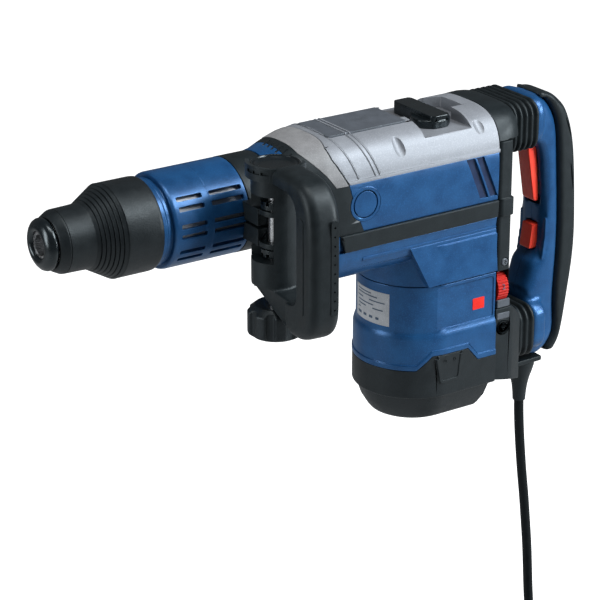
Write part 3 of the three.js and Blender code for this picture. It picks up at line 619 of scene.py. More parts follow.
def make_cord():
    route = [*HANGING, *coil_points(), *TAIL]
    curve = bpy.data.curves.new("power_cord_line", "CURVE")
    curve.dimensions = "3D"
    curve.bevel_depth = CORD_D / 2 * MM
    curve.bevel_resolution = 5
    curve.use_fill_caps = True
    spline = curve.splines.new("POLY")
    line = smooth(route, 3)
    spline.points.add(len(line) - 1)
    for point, place in zip(spline.points, line):
        point.co = (*(Vector(place) * MM), 1)
    spline.use_smooth = True
    curve.materials.append(looks["cord"])
    cord = placed("flex", curve)
    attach(cord, "housing")
    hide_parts("power_cord", "cord_coil")

    boot_profile = [(-253, 0), (-253, 5.9), (-246, 6.3), (-238, 7.2), (-230, 8.9), (-223, 11.2), (-217, 12.8),
                    (-213.3, 13), (-213.3, 0)]
    boot = moved(turned(boot_profile, "z", 48), x=HANGING[0][0])
    piece(boot, "cord_boot", "housing", "rubber", ["strain_relief"], bevel=0.3)

    body_profile = [(0, 0), (0, 6.5)]
    for groove in range(3):
        x = 2.5 + groove * 4
        body_profile += [(x, 6.8 + groove * 0.5), (x + 0.4, 6), (x + 1.6, 6.1), (x + 2, 7.1 + groove * 0.5)]
    body_profile += [(14.5, 9), (17, 16.8), (19, 18.3), (23, 18.5), (24, 17.7), (26, 17.7), (27, 18.5),
                     (51, 18.5), (53.4, 17.8), (54, 16.5), (54, 0)]
    body = turned(body_profile, "x", 64)
    plug_place = {"x": COIL_X + 29, "y": COIL_Y + 88.5, "z": FLOOR_Z + 18.8}
    plug = piece(moved(body, **plug_place), "plug_body", "housing", "rubber",
                 ["power_plug"], bevel=0.5)
    pin_profile = [(53, 0), (53, 2.4), (71, 2.4), (72.6, 1.6), (73, 0.6), (73, 0)]
    pins = gather([moved(turned(pin_profile, "x", 24), y=side * 9.5) for side in (-1, 1)])
    pins = piece(moved(pins, **plug_place), "plug_pins", "housing", "brass", bevel=0)


# ---------------------------------------------------------------- chuck and barrel

def make_chuck():
    cap = [(180.5, 16), (180.5, 19.6), (181.4, 21), (182.6, 21.5), (184.2, 21.5), (186.4, 20.6), (188, 18.9),
           (189.2, 17), (189.9, 15), (190, 13.6), (189.6, 12.2), (188.4, 11), (186.4, 10.3), (181, 10),
           (181, 16)]
    piece(turned(cap, "x"), "nose_cap", "chuck", "satin", ["dust_cap"], bevel=0.2)
    liner = [(150, 5.2), (150, 15.5), (180.8, 15.5), (180.8, 9.9), (185.8, 9.9), (186.6, 9.3), (186.6, 8.7),
             (180, 8.2), (170, 5.2)]
    piece(turned(liner, "x", 64), "bore_seal", "chuck", "steel", bevel=0.2)

    outline = [(179.2, 18.4), (179.9, 20.2), (179.9, 21.6), (178.6, 23.2), (173.5, 25.9), (172.6, 26.1),
               (172.6, 25.6), (171.8, 25.6), (171.8, 26.2), (158, 26.5), (150.5, 26.8)]
    grooves = 7
    for groove in range(grooves):
        x = 149.6 - groove * 3.1
        r = 27.3 + groove * 1.78
        outline += [(x, r), (x - 2.15, r + 1.24), (x - 2.25, r - 0.1), (x - 3.0, r + 0.3)]
    outline += [(127.3, 38.9), (125, 39), (99, 39), (96.4, 38.7), (95.2, 37.9), (95, 37.2), (112, 37.2),
                (124, 35.5), (133, 31), (139, 25), (170, 24.5), (172, 20.5), (175.5, 18.4)]
    piece(turned(outline, "x", 128), "sleeve", "locking_sleeve", "grained",
          ["locking_sleeve"], bevel=0.25, angle=28)


def make_barrel():
    profile = [(16.3, 36), (16.3, BARREL_R), (50.2, BARREL_R), (50.7, 39.9), (51.2, BARREL_R), (83, BARREL_R),
               (84.8, 39.9), (86, 39.2), (86.2, 38.4), (86.2, 35.4), (87.4, 35.2), (87.6, 36.2), (90.6, 36.4),
               (91, 36.1), (91.4, 36.5), (100.6, 36.5), (101, 36), (101, 32.6), (84, 32.6), (80, 36)]
    shell = turned(profile, "x", 180)
    slots = []
    for start, end in ((56.5, 80), (19.5, 49.5)):
        for level in (33.5, 0.5, -32.5):
            for middle in (level, 180 - level):
                for offset in (-6.2, 6.2):
                    slot = prism(round_rect((start, end), (-1.9, 1.9), 0.9, 4), 33, 44, "z")
                    slots.append(moved(slot, turn=math.radians(middle + offset - 90), axis="X"))
    cut(shell, gather(slots))
    piece(shell, "barrel_shell", "housing", "blue", ["barrel"], bevel=0.35)
    piece(tube(35.8, 30.2, 18, 81, "x"), "barrel_liner", "housing", "silver", bevel=0)


# ---------------------------------------------------------------- body

def body_skin(inset=0.0, count=160, crown=None):
    """The body's outer skin, moved in by inset: round at the collar, squarer to the rear.

    A crown gives its own powers above and below the middle, for a more domed skin.
    """
    sections = [(-13.5, 40.5, 40.5, 40.5, 2, 2), (-22, 42, 41.5, 43, 2.1, 2.1),
                (-38, 46.5, 44.5, 56, 2.5, 2.6), (-55, 49.3, 47.3, 69, 2.9, 3.4),
                (-70, HALF_WIDTH, TOP_Z, BELLY_DEPTH, 3.2, 4.5)]
    steps = 4
    stations = []
    for first, second in zip(sections, sections[1:]):
        for i in range(steps):
            t = i / steps
            stations.append(tuple(a + (b - a) * t for a, b in zip(first, second)))
    stations += [sections[-1], (BODY_REAR_X, *sections[-1][1:])]
    loops = []
    for x, width, high, low, upper, lower in stations:
        upper, lower = crown or (upper, lower)
        loop = []
        for i in range(count):
            angle = 2 * math.pi * (i + 0.5) / count
            c, s = math.cos(angle), math.sin(angle)
            power = 2 / (upper if s > 0 else lower)
            height = (high if s > 0 else low) - inset
            loop.append((x, (width - inset) * math.copysign(abs(c) ** power, c),
                         height * math.copysign(abs(s) ** power, s)))
        loops.append(loop)
    return skin(loops)


def disc_boss(radius, start, end):
    """A disc at the side panel's round boss, between two Y positions."""
    return moved(rod(radius, start, end, "y", 64), x=EMBLEM[0], z=EMBLEM[1])


# The top cover's front edge, X and Z, from the top down.
LID_EDGE = [(-66, 70), (-65.5, TOP_Z), (-62, 43), (-62.6, 35.5), (-66.8, 27), (-75, 13)]


def front_outline(shift=0.0):
    """The front cover from the side: it follows the top cover's edge, then steps back to the strip."""
    points = [(-30, 70), *[(x + GAP, z) for x, z in LID_EDGE],
              (-78, 0), (-83, -15), (-90, STRIP_Z[1]), (-30, STRIP_Z[1])]
    return [(x + shift, z) for x, z in points]


def make_front_cover():
    cover = common(body_skin(), prism(front_outline()))
    cut(cover, body_skin(3), disc_boss(15.3, -60, 60))
    piece(cover, "front_shroud", "housing", "black", ["front_cover"], bevel=0.4)

    # A painted highlight: the shroud's facet that catches the top light is a pale grey piece on the black.
    facet = [(-38, 70), *[(x + 1.2, z) for x, z in LID_EDGE], (-62, 13), (-54, 24.4), (-47.3, 32), (-39.5, 41)]
    light = common(body_skin(-0.35), prism(facet))
    piece(cut(light, body_skin(1)), "front_lit_facet", "housing", "pale", bevel=0.25)

    # Slanted grip bars round the top of the shroud.
    bars = []
    for i in range(9):
        bar = moved(block((-5.5, 5.5), (-0.8, 0.8), (30, 60)), x=-30.5, turn=math.radians(24))
        bars.append(moved(bar, turn=math.radians(-58 + i * 8.5), axis="X"))
    bars = common(gather(bars), body_skin(-0.5))
    piece(cut(bars, body_skin(0.8)), "shroud_bars", "housing", "satin", bevel=0.2)


def rib(x_top, width):
    """A slanted band across the top cover, narrow in X."""
    x_low = x_top - 14.5
    outline = [(x_top, 52), (x_top - width, 52), (x_low - width, FLANGE_Z + 3), (x_low, FLANGE_Z + 3)]
    return prism(outline)


def make_top_cover():
    lid = [*LID_EDGE[:-1], (-75, FLANGE_Z + GAP), (BODY_REAR_X, FLANGE_Z + GAP), (BODY_REAR_X, 70)]
    shell = body_skin()
    shoulder = common(body_skin(-1.1), block((-240, -60), (-60, 60), (0, 16.5)))
    ribs = [common(body_skin(-0.45), rib(x, width)) for x, width in ((-69.5, 1.4), (-91, 1.4), (-86.5, 0.8))]
    join(shell, shoulder, *ribs)
    cut(shell, body_skin(4))
    join(shell, common(body_skin(), block((-222, -150), (-60, 60), (LEVER_FLOOR - 3, 70))))
    common(shell, prism(lid))
    sweep = moved(rod(LEVER_REACH + 3, LEVER_FLOOR, 70, "z", 96), x=LEVER_X, y=LEVER_Y)
    cut(shell, common(sweep, block((-218, -150), (-60, 12), (0, 80))),
        block((-206, -157), (-60, 60), (LEVER_FLOOR, 70)),
        moved(rod(6.3, 20, 60, "z"), x=LEVER_X, y=LEVER_Y),
        prism(round_rect((INLAY_X[0] - GAP, INLAY_X[1] + GAP), (-22.8, 22.8), 2), TOP_Z - 2.2, 70, "z"))
    for side in (1, -1):
        for x, y, z in ((-129, 43.5, 33.5), (-213.5, 41.5, 38)):
            cut(shell, capsule((x, side * (y + 1), z + 1), (-0.06, side * 0.62, -0.78), 12.5, 5.2, 3.4))
    piece(shell, "cast_cover", "housing", "silver", ["top_cover"], bevel=0.5)

    panel = prism(round_rect(INLAY_X, (-22.5, 22.5), 1.8), TOP_Z - 1.9, TOP_Z + 0.2, "z")
    cut(panel, block((-94.1, -88.2), (-24, 24), (40, 60)))
    strips = [block((x - 1.6, x), (-22.9, 22.9), (TOP_Z - 2.3, TOP_Z + 0.6)) for x in (-88.4, -92.3)]
    piece(gather(strips), "cover_ribs", "housing", "silver", bevel=0.25)
    between = block((-92.2, -90.1), (-22.5, 22.5), (TOP_Z - 1.9, TOP_Z + 0.2))
    piece(gather([panel, between]), "cover_inlay", "housing", "grey", ["top_inlay"], bevel=0.3)


def slanted(front, rear, low, high):
    """One of the panel's slanted slots, between two Y positions."""
    return skin([[(x - lean, y, z) for x, y in ((front, high), (front, low), (rear, low), (rear, high))]
                 for z, lean in ((12, 0), (-25.5, 15.8))])


def make_side_panels():
    core = body_skin(3)
    for side, name in SIDES:
        half = block((-240, 0), (0, side * 70) if side > 0 else (-70, 0), (-90, 70))
        band = block((BODY_REAR_X, -70), (-70, 70), (STRIP_Z[1] + GAP, FLANGE_Z))
        panel = common(body_skin(crown=(2.4, 3)), band, clone(half))
        cut(panel, clone(core), prism(front_outline(-GAP)))
        boss = common(disc_boss(15, 0, side * 60), body_skin(-0.2))
        cut(boss, body_skin(3))
        join(panel, boss)
        ring = cut(disc_boss(12.3, side * 46, side * 64), disc_boss(11.3, side * 40, side * 66))
        cut(panel, ring)
        # Painted shade: dark blue floors in the slots stand in for the shade of their depth.
        floors = []
        for front, rear in ((-196, -204.6), (-206.8, -214.2)):
            cut(panel, on_side(slanted(front, rear, 47.6, 60), side))
            floors.append(on_side(slanted(front + 0.2, rear - 0.2, 46.9, 47.8), side))
        piece(gather(floors), f"shaded_slot_floors_{name}", "housing", "slot_shade", bevel=0)
        piece(panel, f"panel_{name}", "housing", "blue", [f"side_panel_{name}"], bevel=0.45)

        edge = [(-66, STRIP_Z[1]), (-71, STRIP_Z[0] + GAP), (BODY_REAR_X, STRIP_Z[0] + GAP),
                (BODY_REAR_X, STRIP_Z[1])]
        strip = common(body_skin(-1.5), prism(edge), half)
        cut(strip, clone(core), block((-90.5, -60), (-60, 60), (STRIP_Z[1] - 0.01, 0)))
        piece(strip, f"strip_{name}", "housing", "black", [f"side_strip_{name}"], bevel=0.9)
    drop(core)


def make_gear_housing():
    outer = body_skin()
    shape = common(clone(outer), block((BODY_REAR_X, -13.5), (-60, 60), (-90, STRIP_Z[0])))
    join(shape, common(clone(outer), block((-30 + GAP, -13.5), (-60, 60), (-60, 70))))
    join(shape, common(outer, block((-66, -29), (-60, 60), (-90, STRIP_Z[1] - GAP))))
    core = common(body_skin(3 + GAP), block((BODY_REAR_X, -25), (-60, 60), (-90, FLANGE_Z - GAP)))
    join(shape, core, prism(motor_outline(0), MOTOR_TOP_Z + GAP, -60, "z"),
         tube(37.1, 30.3, -20, 16, "x"))
    # A flat side panel, whose front edge slants, leans out towards its foot.
    for side in (1, -1):
        rows = [[(front, 44, z), (front, y, z), (BODY_REAR_X, y, z), (BODY_REAR_X, 44, z)]
                for front, y, z in ((-139, 48.2, -56.5), (-157, 52, MOTOR_TOP_Z + 1.5))]
        join(shape, on_side(skin(rows), side))
    ledge = block((BODY_REAR_X, -90), (-60, 60), (-57, -54))
    join(shape, common(body_skin(-0.8), ledge))
    cut(shape, rod(30.6, -113, 60, "x", 64), moved(rod(37, -50, 60, "z"), x=-140),
        block((-200, -140), (-24, 24), (-47, 60)), moved(rod(45, -110, -68, "z"), x=MOTOR_X),
        moved(rod(11.3, -70, -40, "z"), x=MOTOR_X))
    piece(shape, "gear_case", "housing", "blue", ["gear_housing"], bevel=0.5)


# ---------------------------------------------------------------- motor end

def motor_outline(grow, rear=BODY_REAR_X, steps=64):
    """The motor housing's outline from above: a half round in front of two straight sides."""
    r = HALF_WIDTH + grow
    points = []
    for i in range(steps + 1):
        angle = -math.pi / 2 + math.pi * i / steps
        points.append((MOTOR_X + r * math.cos(angle), r * math.sin(angle)))
    return [*points, (rear, r), (rear, -r)]


def motor_form(levels):
    """The motor end's outline through levels of (z, growth, rear X)."""
    return skin([[(x, y, z) for x, y in motor_outline(grow, *rear)] for z, grow, *rear in levels])


def step_line(shift):
    """The line between the motor housing and its base cap, which steps up at the middle."""
    points = [(-110, -173), (-150, -173), (-163, -160), (-200, -160), (-211, -173), (-260, -173)]
    return [(x, z + shift) for x, z in points]


def make_motor_housing():
    shell = motor_form([(-182, 2.4), (-145, 2.4), (-140.5, 1.2), (-138, 0), (MOTOR_TOP_Z - GAP, 0)])
    lip = motor_form([(-182, 3.2), (-140, 3.2)])
    common(lip, prism([*step_line(5), (-260, -260), (-110, -260)], -70, 70, "y"))
    join(shell, lip)
    rear = BODY_REAR_X - 1
    cut(shell, prism([*step_line(0), (-260, -260), (-110, -260)], -70, 70, "y"),
        motor_form([(-190, -4, rear), (-80, -4, rear)]))
    recess = prism(round_rect((-228.5, -160), (-137, -99.5), 2.5), HALF_WIDTH - 0.9, 60, "y")
    cut(shell, clone(recess), mirrored(recess))
    join(shell, block((BODY_REAR_X, BODY_REAR_X + 3), (-47, 47), (-150, MOTOR_TOP_Z - GAP)))
    piece(shell, "motor_shell", "housing", "blue", ["motor_housing"], bevel=0.8)

    for side, name in SIDES:
        mark = prism(round_rect((-219, -206.5), (-127, -116.5), 0.8), 49, 49.5, "y")
        piece(on_side(mark, side), f"side_mark_{name}", "housing", "red", bevel=0.1)
    make_rating_plate()


def wrapped(angles, heights, inner, outer, steps=24):
    """A curved plate on the motor housing's round front."""
    low, high = heights
    loops = []
    for i in range(steps + 1):
        angle = angles[0] + (angles[1] - angles[0]) * i / steps
        c, s = math.cos(angle), math.sin(angle)
        loops.append([(MOTOR_X + r * c, r * s, z)
                      for r, z in ((inner, low), (outer, low), (outer, high), (inner, high))])
    return skin(loops)


def make_rating_plate():
    """A pale label with plain rules and blocks in place of its text."""
    r = HALF_WIDTH
    first, last = math.radians(-20), math.radians(30)
    plate = wrapped((first, last), (-134.5, -104.5), r - 0.5, r + 0.25)
    piece(plate, "rating_plate", "housing", "label", bevel=0)
    rows = [(-107.2, 0.1, 0.55), (-109.8, 0.1, 0.72), (-113.6, 0.08, 0.3), (-113.6, 0.5, 0.9),
            (-117.4, 0.1, 0.62), (-120.6, 0.12, 0.4), (-120.6, 0.6, 0.86), (-124.2, 0.1, 0.2),
            (-128.2, 0.1, 0.24), (-128.2, 0.32, 0.42), (-128.2, 0.5, 0.6), (-128.2, 0.68, 0.76)]
    bars = []
    for z, start, end in rows:
        thick = 2.4 if z < -126 else 1.1
        span = tuple(first + (last - first) * t for t in (start, end))
        bars.append(wrapped(span, (z - thick, z), r, r + 0.3, 8))
    piece(gather(bars), "rating_rules", "housing", "print", bevel=0)


def make_base_cap():
    shell = motor_form([(-150, 2.9), (-198, 2.9), (-199.2, 2.4), (-200.2, -0.4, -226.5), (-212, -4.5, -224.5),
                        (-221, -10, -221.5), (-224, -12.5, -220), (-225, -14.5, -218.5)])
    rear = BODY_REAR_X + 3
    cut(shell, prism([*step_line(-GAP), (-260, -80), (-110, -80)], -70, 70, "y"),
        motor_form([(-150, -2, rear), (-199, -2, rear), (-200, -6, -223), (-213, -9, -221)]))
    clip = [(-165.5, -163), (-194, -163), (-190.5, -184.5), (-188.5, -186.5), (-171.5, -186.5),
            (-169.5, -184.5)]
    inner = [(-168, -160), (-191.5, -160), (-188.6, -182.6), (-187.4, -184), (-172.8, -184),
             (-171.6, -182.6)]
    latch = cut(prism(clip, 51, 54, "y"), prism(inner, 53, 60, "y"))
    holes = [moved(rod(1.3, 52, 60, "y", 24), x=x, z=-166.5) for x in (-175, -185)]
    plate = cut(prism(inner, 51, 53.2, "y"), *holes)
    common(plate, block((-240, -100), (40, 60), (-200, -161)))
    join(latch, plate)
    join(shell, clone(latch), mirrored(latch))
    piece(shell, "motor_cap", "housing", "grained", ["base_cap"], bevel=0.5)


# ---------------------------------------------------------------- rear frame

def make_rear_frame():
    x = (FRAME_REAR_X, BODY_REAR_X - GAP)
    column = prism(round_rect(x, (-HALF_WIDTH, HALF_WIDTH), 4), -131, 21.7, "z")
    band = prism(round_rect((FRAME_REAR_X - 1.5, x[1] - 1.2), (-51.5, 51.5), 4), -46, -30, "z")
    join(column, band)
    wheel_x, _, wheel_z = WHEEL
    cut(column, block((-244, -225), (-44, 44), (-128, 18)),
        block((wheel_x - 6.3, wheel_x + 6.3), (17, 60), (wheel_z - 18, wheel_z + 18)))
    for side in (1, -1):
        seat = turned([(40, 0), (40, 2.3), (48.5, 2.3), (48.5, 3.9), (60, 3.9), (60, 0)], "y", 48)
        cut(column, on_side(moved(seat, x=-240, z=-89), side))
    piece(column, "rear_column", "housing", "black", ["rear_frame"], bevel=0.7)

    # Half loops of (X, half width, height, roundness), squarer to the rear.
    hood = []
    for bx, width, high, power in ((BODY_REAR_X - GAP, 50, TOP_Z, 0.625), (-240, 49.6, 48.2, 0.57),
                                   (-246, 48.9, 47.8, 0.53), (-251, 46.8, 47.3, 0.5),
                                   (BLOCK_REAR_X, 44, 46.5, 0.48)):
        loop = []
        for i in range(97):
            angle = math.pi * i / 96
            c, s = math.cos(angle), max(0.0, math.sin(angle))
            loop.append((bx, width * math.copysign(abs(c) ** power, c), high * s ** power))
        hood.append(loop)
    shape = cut(skin(hood), block((-300, -200), (-60, 60), (-5, 22)),
                block((BLOCK_REAR_X - 1, -225), (-36, 36), (10, 40)))
    piece(shape, "bellows_hood", "housing", "black", ["bellows_block"], bevel=0.8)


def make_lower_rear():
    low = [(BODY_REAR_X - GAP, -131.3), (-249, -131.3), (LOWER_REAR_X + 3, -144.5), (LOWER_REAR_X, -149),
           (LOWER_REAR_X, -197), (-272, -207.8), (-316, -207.8), (-316, -213), (-276, -213), (-250, -203),
           (-231.3, -199)]
    outline = [(BODY_REAR_X - GAP, -51), (-246, -51), (-252, -49.5), (LOWER_REAR_X, -40), (-270, -36),
               (-272, -15), (-316, -14), (-316, 14), (-272, 15), (-270, 36), (LOWER_REAR_X, 40),
               (-252, 49.5), (-246, 51), (BODY_REAR_X - GAP, 51)]
    body = common(prism(low), prism(outline, -220, -100, "z"))
    lug = prism(round_rect((PIVOT[0] - 7, LOWER_REAR_X + 1), (PIVOT[1] - 7, PIVOT[1] + 7), 3), -6, 6, "y")
    join(body, lug)
    cut(body, block((-264, -225), (-37, 37), (-192, -137)),
        moved(rod(4.3, -20, 20, "y"), x=PIVOT[0], z=PIVOT[1]))
    for side in (1, -1):
        ring_cut = cut(rod(6.4, 50.5, 60, "y"), rod(5.6, 40, 70, "y"))
        cross = join(block((-3, 3), (50.4, 60), (-0.5, 0.5)), block((-0.5, 0.5), (50.4, 60), (-3, 3)))
        for tool in (ring_cut, cross):
            cut(body, on_side(moved(tool, x=-239.5, z=-149), side))
    piece(body, "lower_rear_case", "housing", "black", ["lower_rear_housing"], bevel=1.6, angle=30)

    for side, name in SIDES:
        pads = gather([block((-246, -232.5), (49, 51.35), (-130.6, -123.5)),
                       block((-246, -232.5), (50, 51.6), (-141.6, -135.8))])
        piece(on_side(pads, side), f"grip_pads_{name}", "housing", "grey", bevel=0.6)


def bellows(x, y, z, ribs, wall, steps=10):
    """A ribbed rubber sleeve of rounded-rectangle section between two X positions."""
    loops = []
    count = ribs * steps
    for i in range(count + 1):
        inset = 2.3 * (0.5 + 0.5 * math.cos(2 * math.pi * i / steps)) ** 1.6
        at = x[0] + (x[1] - x[0]) * i / count
        loops.append([(at, a, b) for a, b in
                      round_rect((y[0] + inset, y[1] - inset), (z[0] + inset, z[1] - inset), 13, 10)])
    sleeve = skin(loops)
    return cut(sleeve, block((x[0] - 1, x[1] + 1), (y[0] + wall, y[1] - wall), (z[0] + wall, z[1] - wall)))


def make_bellows():
    """Both ribbed sleeves between the housing and the damped handle, left on no body."""
    upper = bellows((ARM_X, BLOCK_REAR_X - GAP), (-36, 36), (0, 46), 5, 6)
    lower = bellows((FOOT_X, LOWER_REAR_X - 3), (-34, 34), (-196.8, -147), 3, 8)
    spans = ((upper, "handle_boot_upper", "upper_bellows", ARM_X, BLOCK_REAR_X, 23),
             (lower, "handle_boot_lower", "lower_bellows", FOOT_X, LOWER_REAR_X - 3, -172))
    for sleeve, name, node, rear, front, z in spans:
        finished = piece(sleeve, name, None, "rubber", [node], bevel=0, angle=50)
        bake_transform(finished)


# ---------------------------------------------------------------- rear handle

BACK_LINE = [(-298, 45.2), (-312, 34), (-322, 12), (-325.5, -30), (-328, -75), (-328, -106), (-326, -150),
             (-327, -184), (-318, -200)]
FRONT_LINE = [(-289, -140), (-293, -133), (-296.5, -122), (-299, -114), (-306, -107), (-309, -98),
              (-309, -62), (-307, -30), (-303, -6), (-293, 1.5)]
OUTER_LINE = [(-298, 45.8), (-310, 44.8), (-322, 37.5), (-334, 22), (-343, -11), (-347.5, -71), (-347.5, -110),
              (-342.5, -150), (-335.5, -190), (-326, -206)]


def handle_blank():
    """The handle's D-shaped body, melted into its arm and foot."""
    grip = [(ARM_X - GAP, 44.5), *smooth(BACK_LINE, 5), (-308, -205.5), (-299, -203), (-293, -196),
            (FOOT_X - GAP, -188), (FOOT_X - GAP, -142), *smooth(FRONT_LINE, 4), (ARM_X - GAP, 2)]
    body = prism(grip, -19, 19, "y")
    rounded(body, 10, 60)
    arm = prism(round_rect((-30, 30), (2, 45.3), 14), ARM_X - GAP - 11, ARM_X - GAP, "x")
    foot = prism(round_rect((-31, 31), (-194, -148), 14), FOOT_X - GAP - 15, FOOT_X - GAP, "x")
    return softened(join(body, arm, foot), 1.3, 28)


def make_handle():
    whole = handle_blank()
    pocket = block((-321, -308), (-10, 10), (-62, -2))
    cut(whole, pocket, block((-316, -280), (-8.8, 8.8), (-62, -2)),
        block((-318, -288), (-7.8, 7.8), (-105, -79)),
        prism(round_rect((-13, 13), (-184, -158), 4), -300, -280, "x"))
    # A slim guard fin beside the lock button, and the seam between the two shells.
    for side in (1, -1):
        fin = prism([(-311, -73), (-313.6, -74), (-313.2, -92), (-310.4, -110), (-307.6, -111), (-310.2, -92)],
                    side * 13, side * 18.2, "y")
        join(whole, fin)
    whole = softened(whole, 1.0, 2, 0.5)
    for side, name in SIDES:
        half = block((-400, -200), (GAP / 2, 60) if side > 0 else (-60, -GAP / 2), (-300, 100))
        shell = common(clone(whole), half)
        piece(shell, f"shell_{name}", "handle", "blue", [f"handle_shell_{name}"], bevel=0)
    drop(whole)
    make_grip_strip()

    trigger = [(-295.5, -3.5), (-305, -3.5), (-308, -30), (-310, -58), (-306, -58.5), (-304, -56)]
    blade = prism(trigger, -8.4, 8.4, "y")
    # The trigger and lock button take the brightened red, a painted highlight.
    piece(blade, "trigger_blade", "trigger", "lit_red", ["trigger"], bevel=1.6, angle=40)
    button = [(-304.5, -80.5), (-313, -80.5), (-313, -103.5), (-301.5, -103.5)]
    piece(prism(button, -7.4, 7.4, "y"), "button_cap", "lock_button", "lit_red", ["lock_button"],
          bevel=1.5, angle=40)


def make_grip_strip():
    """The soft outer strip, with a few moulded creases."""
    inner = [(x - 0.3, z) for x, z in smooth(BACK_LINE, 6)]
    strip = prism([*smooth(OUTER_LINE, 6), (-316, -203), *reversed(inner)], -17.5, 17.5, "y")
    rounded(strip, 6, 60)
    softened(strip, 1.1, 9)
    for x, z, lean in ((-330, 31, 0.8), (-341, 6, 0.35), (-346, -38, 0.15)):
        for side in (1, -1):
            crease = capsule((x + 6, side * 17, z), (math.sin(lean), 0, math.cos(lean)), 13, 1.1, 1.3)
            cut(strip, crease)
    piece(strip, "grip_strip", "handle", "rubber", ["handle_grip_strip"], bevel=0)


# ---------------------------------------------------------------- controls

def numeral(number):
    """A digit on the speed wheel's rim, 60 degrees from the next."""
    data = bpy.data.curves.new(f"numeral_{number}", "FONT")
    data.body = str(number)
    data.size = 7 * MM
    data.align_x = data.align_y = "CENTER"
    data.extrude = 0.15 * MM
    text = placed(f"numeral_{number}", data)
    graph = bpy.context.evaluated_depsgraph_get()
    mesh = bpy.data.meshes.new_from_object(text.evaluated_get(graph))
    bpy.data.objects.remove(text)
    upright = Matrix.Rotation(math.pi, 4, "Z") @ Matrix.Rotation(math.pi / 2, 4, "X")
    mesh.transform(Matrix.Translation((0, WHEEL_R * MM, 0)) @ upright)
    mesh.transform(Matrix.Rotation(math.radians(-110 + number * 60), 4, "X"))
    mesh.transform(Matrix.Translation(Vector(WHEEL) * MM))
    return placed(f"numeral_{number}", mesh)


def make_controls():
    rim = []
    teeth = 36
    for i in range(teeth * 4):
        angle = 2 * math.pi * i / (teeth * 4)
        r = WHEEL_R - (0.7 if i % 4 in (0, 1) else 0)
        rim.append((r * math.cos(angle), r * math.sin(angle)))
    wheel = cut(prism(rim, -5.6, 5.6, "x"), rod(3.3, -10, 10, "x", 32))
    # The wheel's darker red is painted shade.
    piece(moved(wheel, *WHEEL), "dial", "speed_wheel", "shaded_red", ["speed_wheel"], bevel=0.2)
    numerals = [numeral(number) for number in range(1, 7)]
    piece(gather(numerals), "dial_numerals", "speed_wheel", "print", bevel=0)

    low, high = LEVER_FLOOR + GAP, LEVER_TOP - 4
    hub = turned([(low, 0), (low, 17), (high - 0.8, 17), (high, 16.2), (high, 0)], "z")
    bar = prism(round_rect((-9.4, 9.4), (-LEVER_REACH, 16.6), 4), low, LEVER_TOP, "z")
    lever = join(hub, bar, rod(6, 29.5, 39.5, "z"))
    piece(moved(lever, x=LEVER_X, y=LEVER_Y), "mode_lever", "selector_lever", "satin",
          ["selector_lever"], bevel=0.7)

    for side, name in SIDES:
        head = turned([(44.5, 0), (44.5, 2), (48.8, 2), (48.8, 3.5), (49.9, 3.5), (50.6, 2.8), (50.6, 0)],
                      "y", 40)
        cut(head, block((-2, 2), (49.4, 52), (-0.45, 0.45)), block((-0.45, 0.45), (49.4, 52), (-2, 2)))
        piece(on_side(moved(head, x=-240, z=-89), side), f"screw_{name}", "housing", "grey",
              [f"frame_screw_{name}"], bevel=0.15)


# ---------------------------------------------------------------- auxiliary handle

def at_bolt(thing, turn=0.0):
    """Puts a thing drawn about the origin on the clamp bolt's axis."""
    return moved(thing, x=BOLT_X, y=BOLT_Y, turn=turn)


def toothed_ring(inner, outer, start, end, teeth, depth):
    """A ring whose upper face carries crown teeth."""
    ring = tube(outer, inner, start, end, "z", 96)
    notches = [moved(block((0, outer + 2), (-1.3, 1.3), (end - depth, end + 2)), turn=2 * math.pi * i / teeth)
               for i in range(teeth)]
    return cut(ring, gather(notches))


def make_clamp():
    band = tube(40.4, 37.6, -12.7, 15.7, "x", 160)
    lug = join(block((-13, 13), (-34, -6), (-16, 16)), rod(12, 11.5, 16, "z"), rod(12, -16, -11.5, "z"),
               block((-12, 12), (-8, 0), (11.5, 16)), block((-12, 12), (-8, 0), (-16, -11.5)))
    at_bolt(lug)
    cut(lug, rod(39, -40, 40, "x", 96), rod(41.5, 15.7, 40, "x", 96))
    join(band, lug)
    cut(band, block((-20, 40), (39, 90), (-1.2, 1.2)), at_bolt(rod(6.3, -40, 40, "z")))
    piece(band, "clamp_strap", "clamp", "black", ["clamp_band"], bevel=0.7)
    piece(at_bolt(rod(6, -84, 49, "z")), "bolt_shank", "clamp", "steel", ["clamp_bolt"], bevel=0.2)
    cap = [(50.3, 0), (50.3, 20), (51, 20.8), (53, 21), (54.3, 20.6), (55, 19.6), (54.8, 18.8), (53.7, 18.2),
           (54.2, 17.2), (54, 16.2), (52.6, 14.6), (52.4, 13), (52.2, 0)]
    piece(at_bolt(turned(cap, "z")), "cap_ring", "clamp", "satin", ["clamp_cap"], bevel=0.15)


def bow_outline():
    """The bow from the side, and its finger gap: (distance out from the bolt, height)."""
    outer = [(-18.7, 50), (6, 55.5), (26, 58.6), (50, 58.8),
             *smooth([(58, 58), (67, 55), (75, 48.5), (80.5, 39), (83.5, 27), (84.5, 14)], 5),
             *smooth([(84.5, -40), (83, -55), (76, -67), (62, -74), (48, -75)], 6), (34, -71), (-18.7, -54)]
    gap = [(0, 45), (40, 45), *smooth([(50, 43.5), (57, 37), (60, 26)], 6),
           *smooth([(60, -34), (58.5, -42), (54, -46), (48, -47.2)], 6), (0, -47.2)]
    return outer, gap


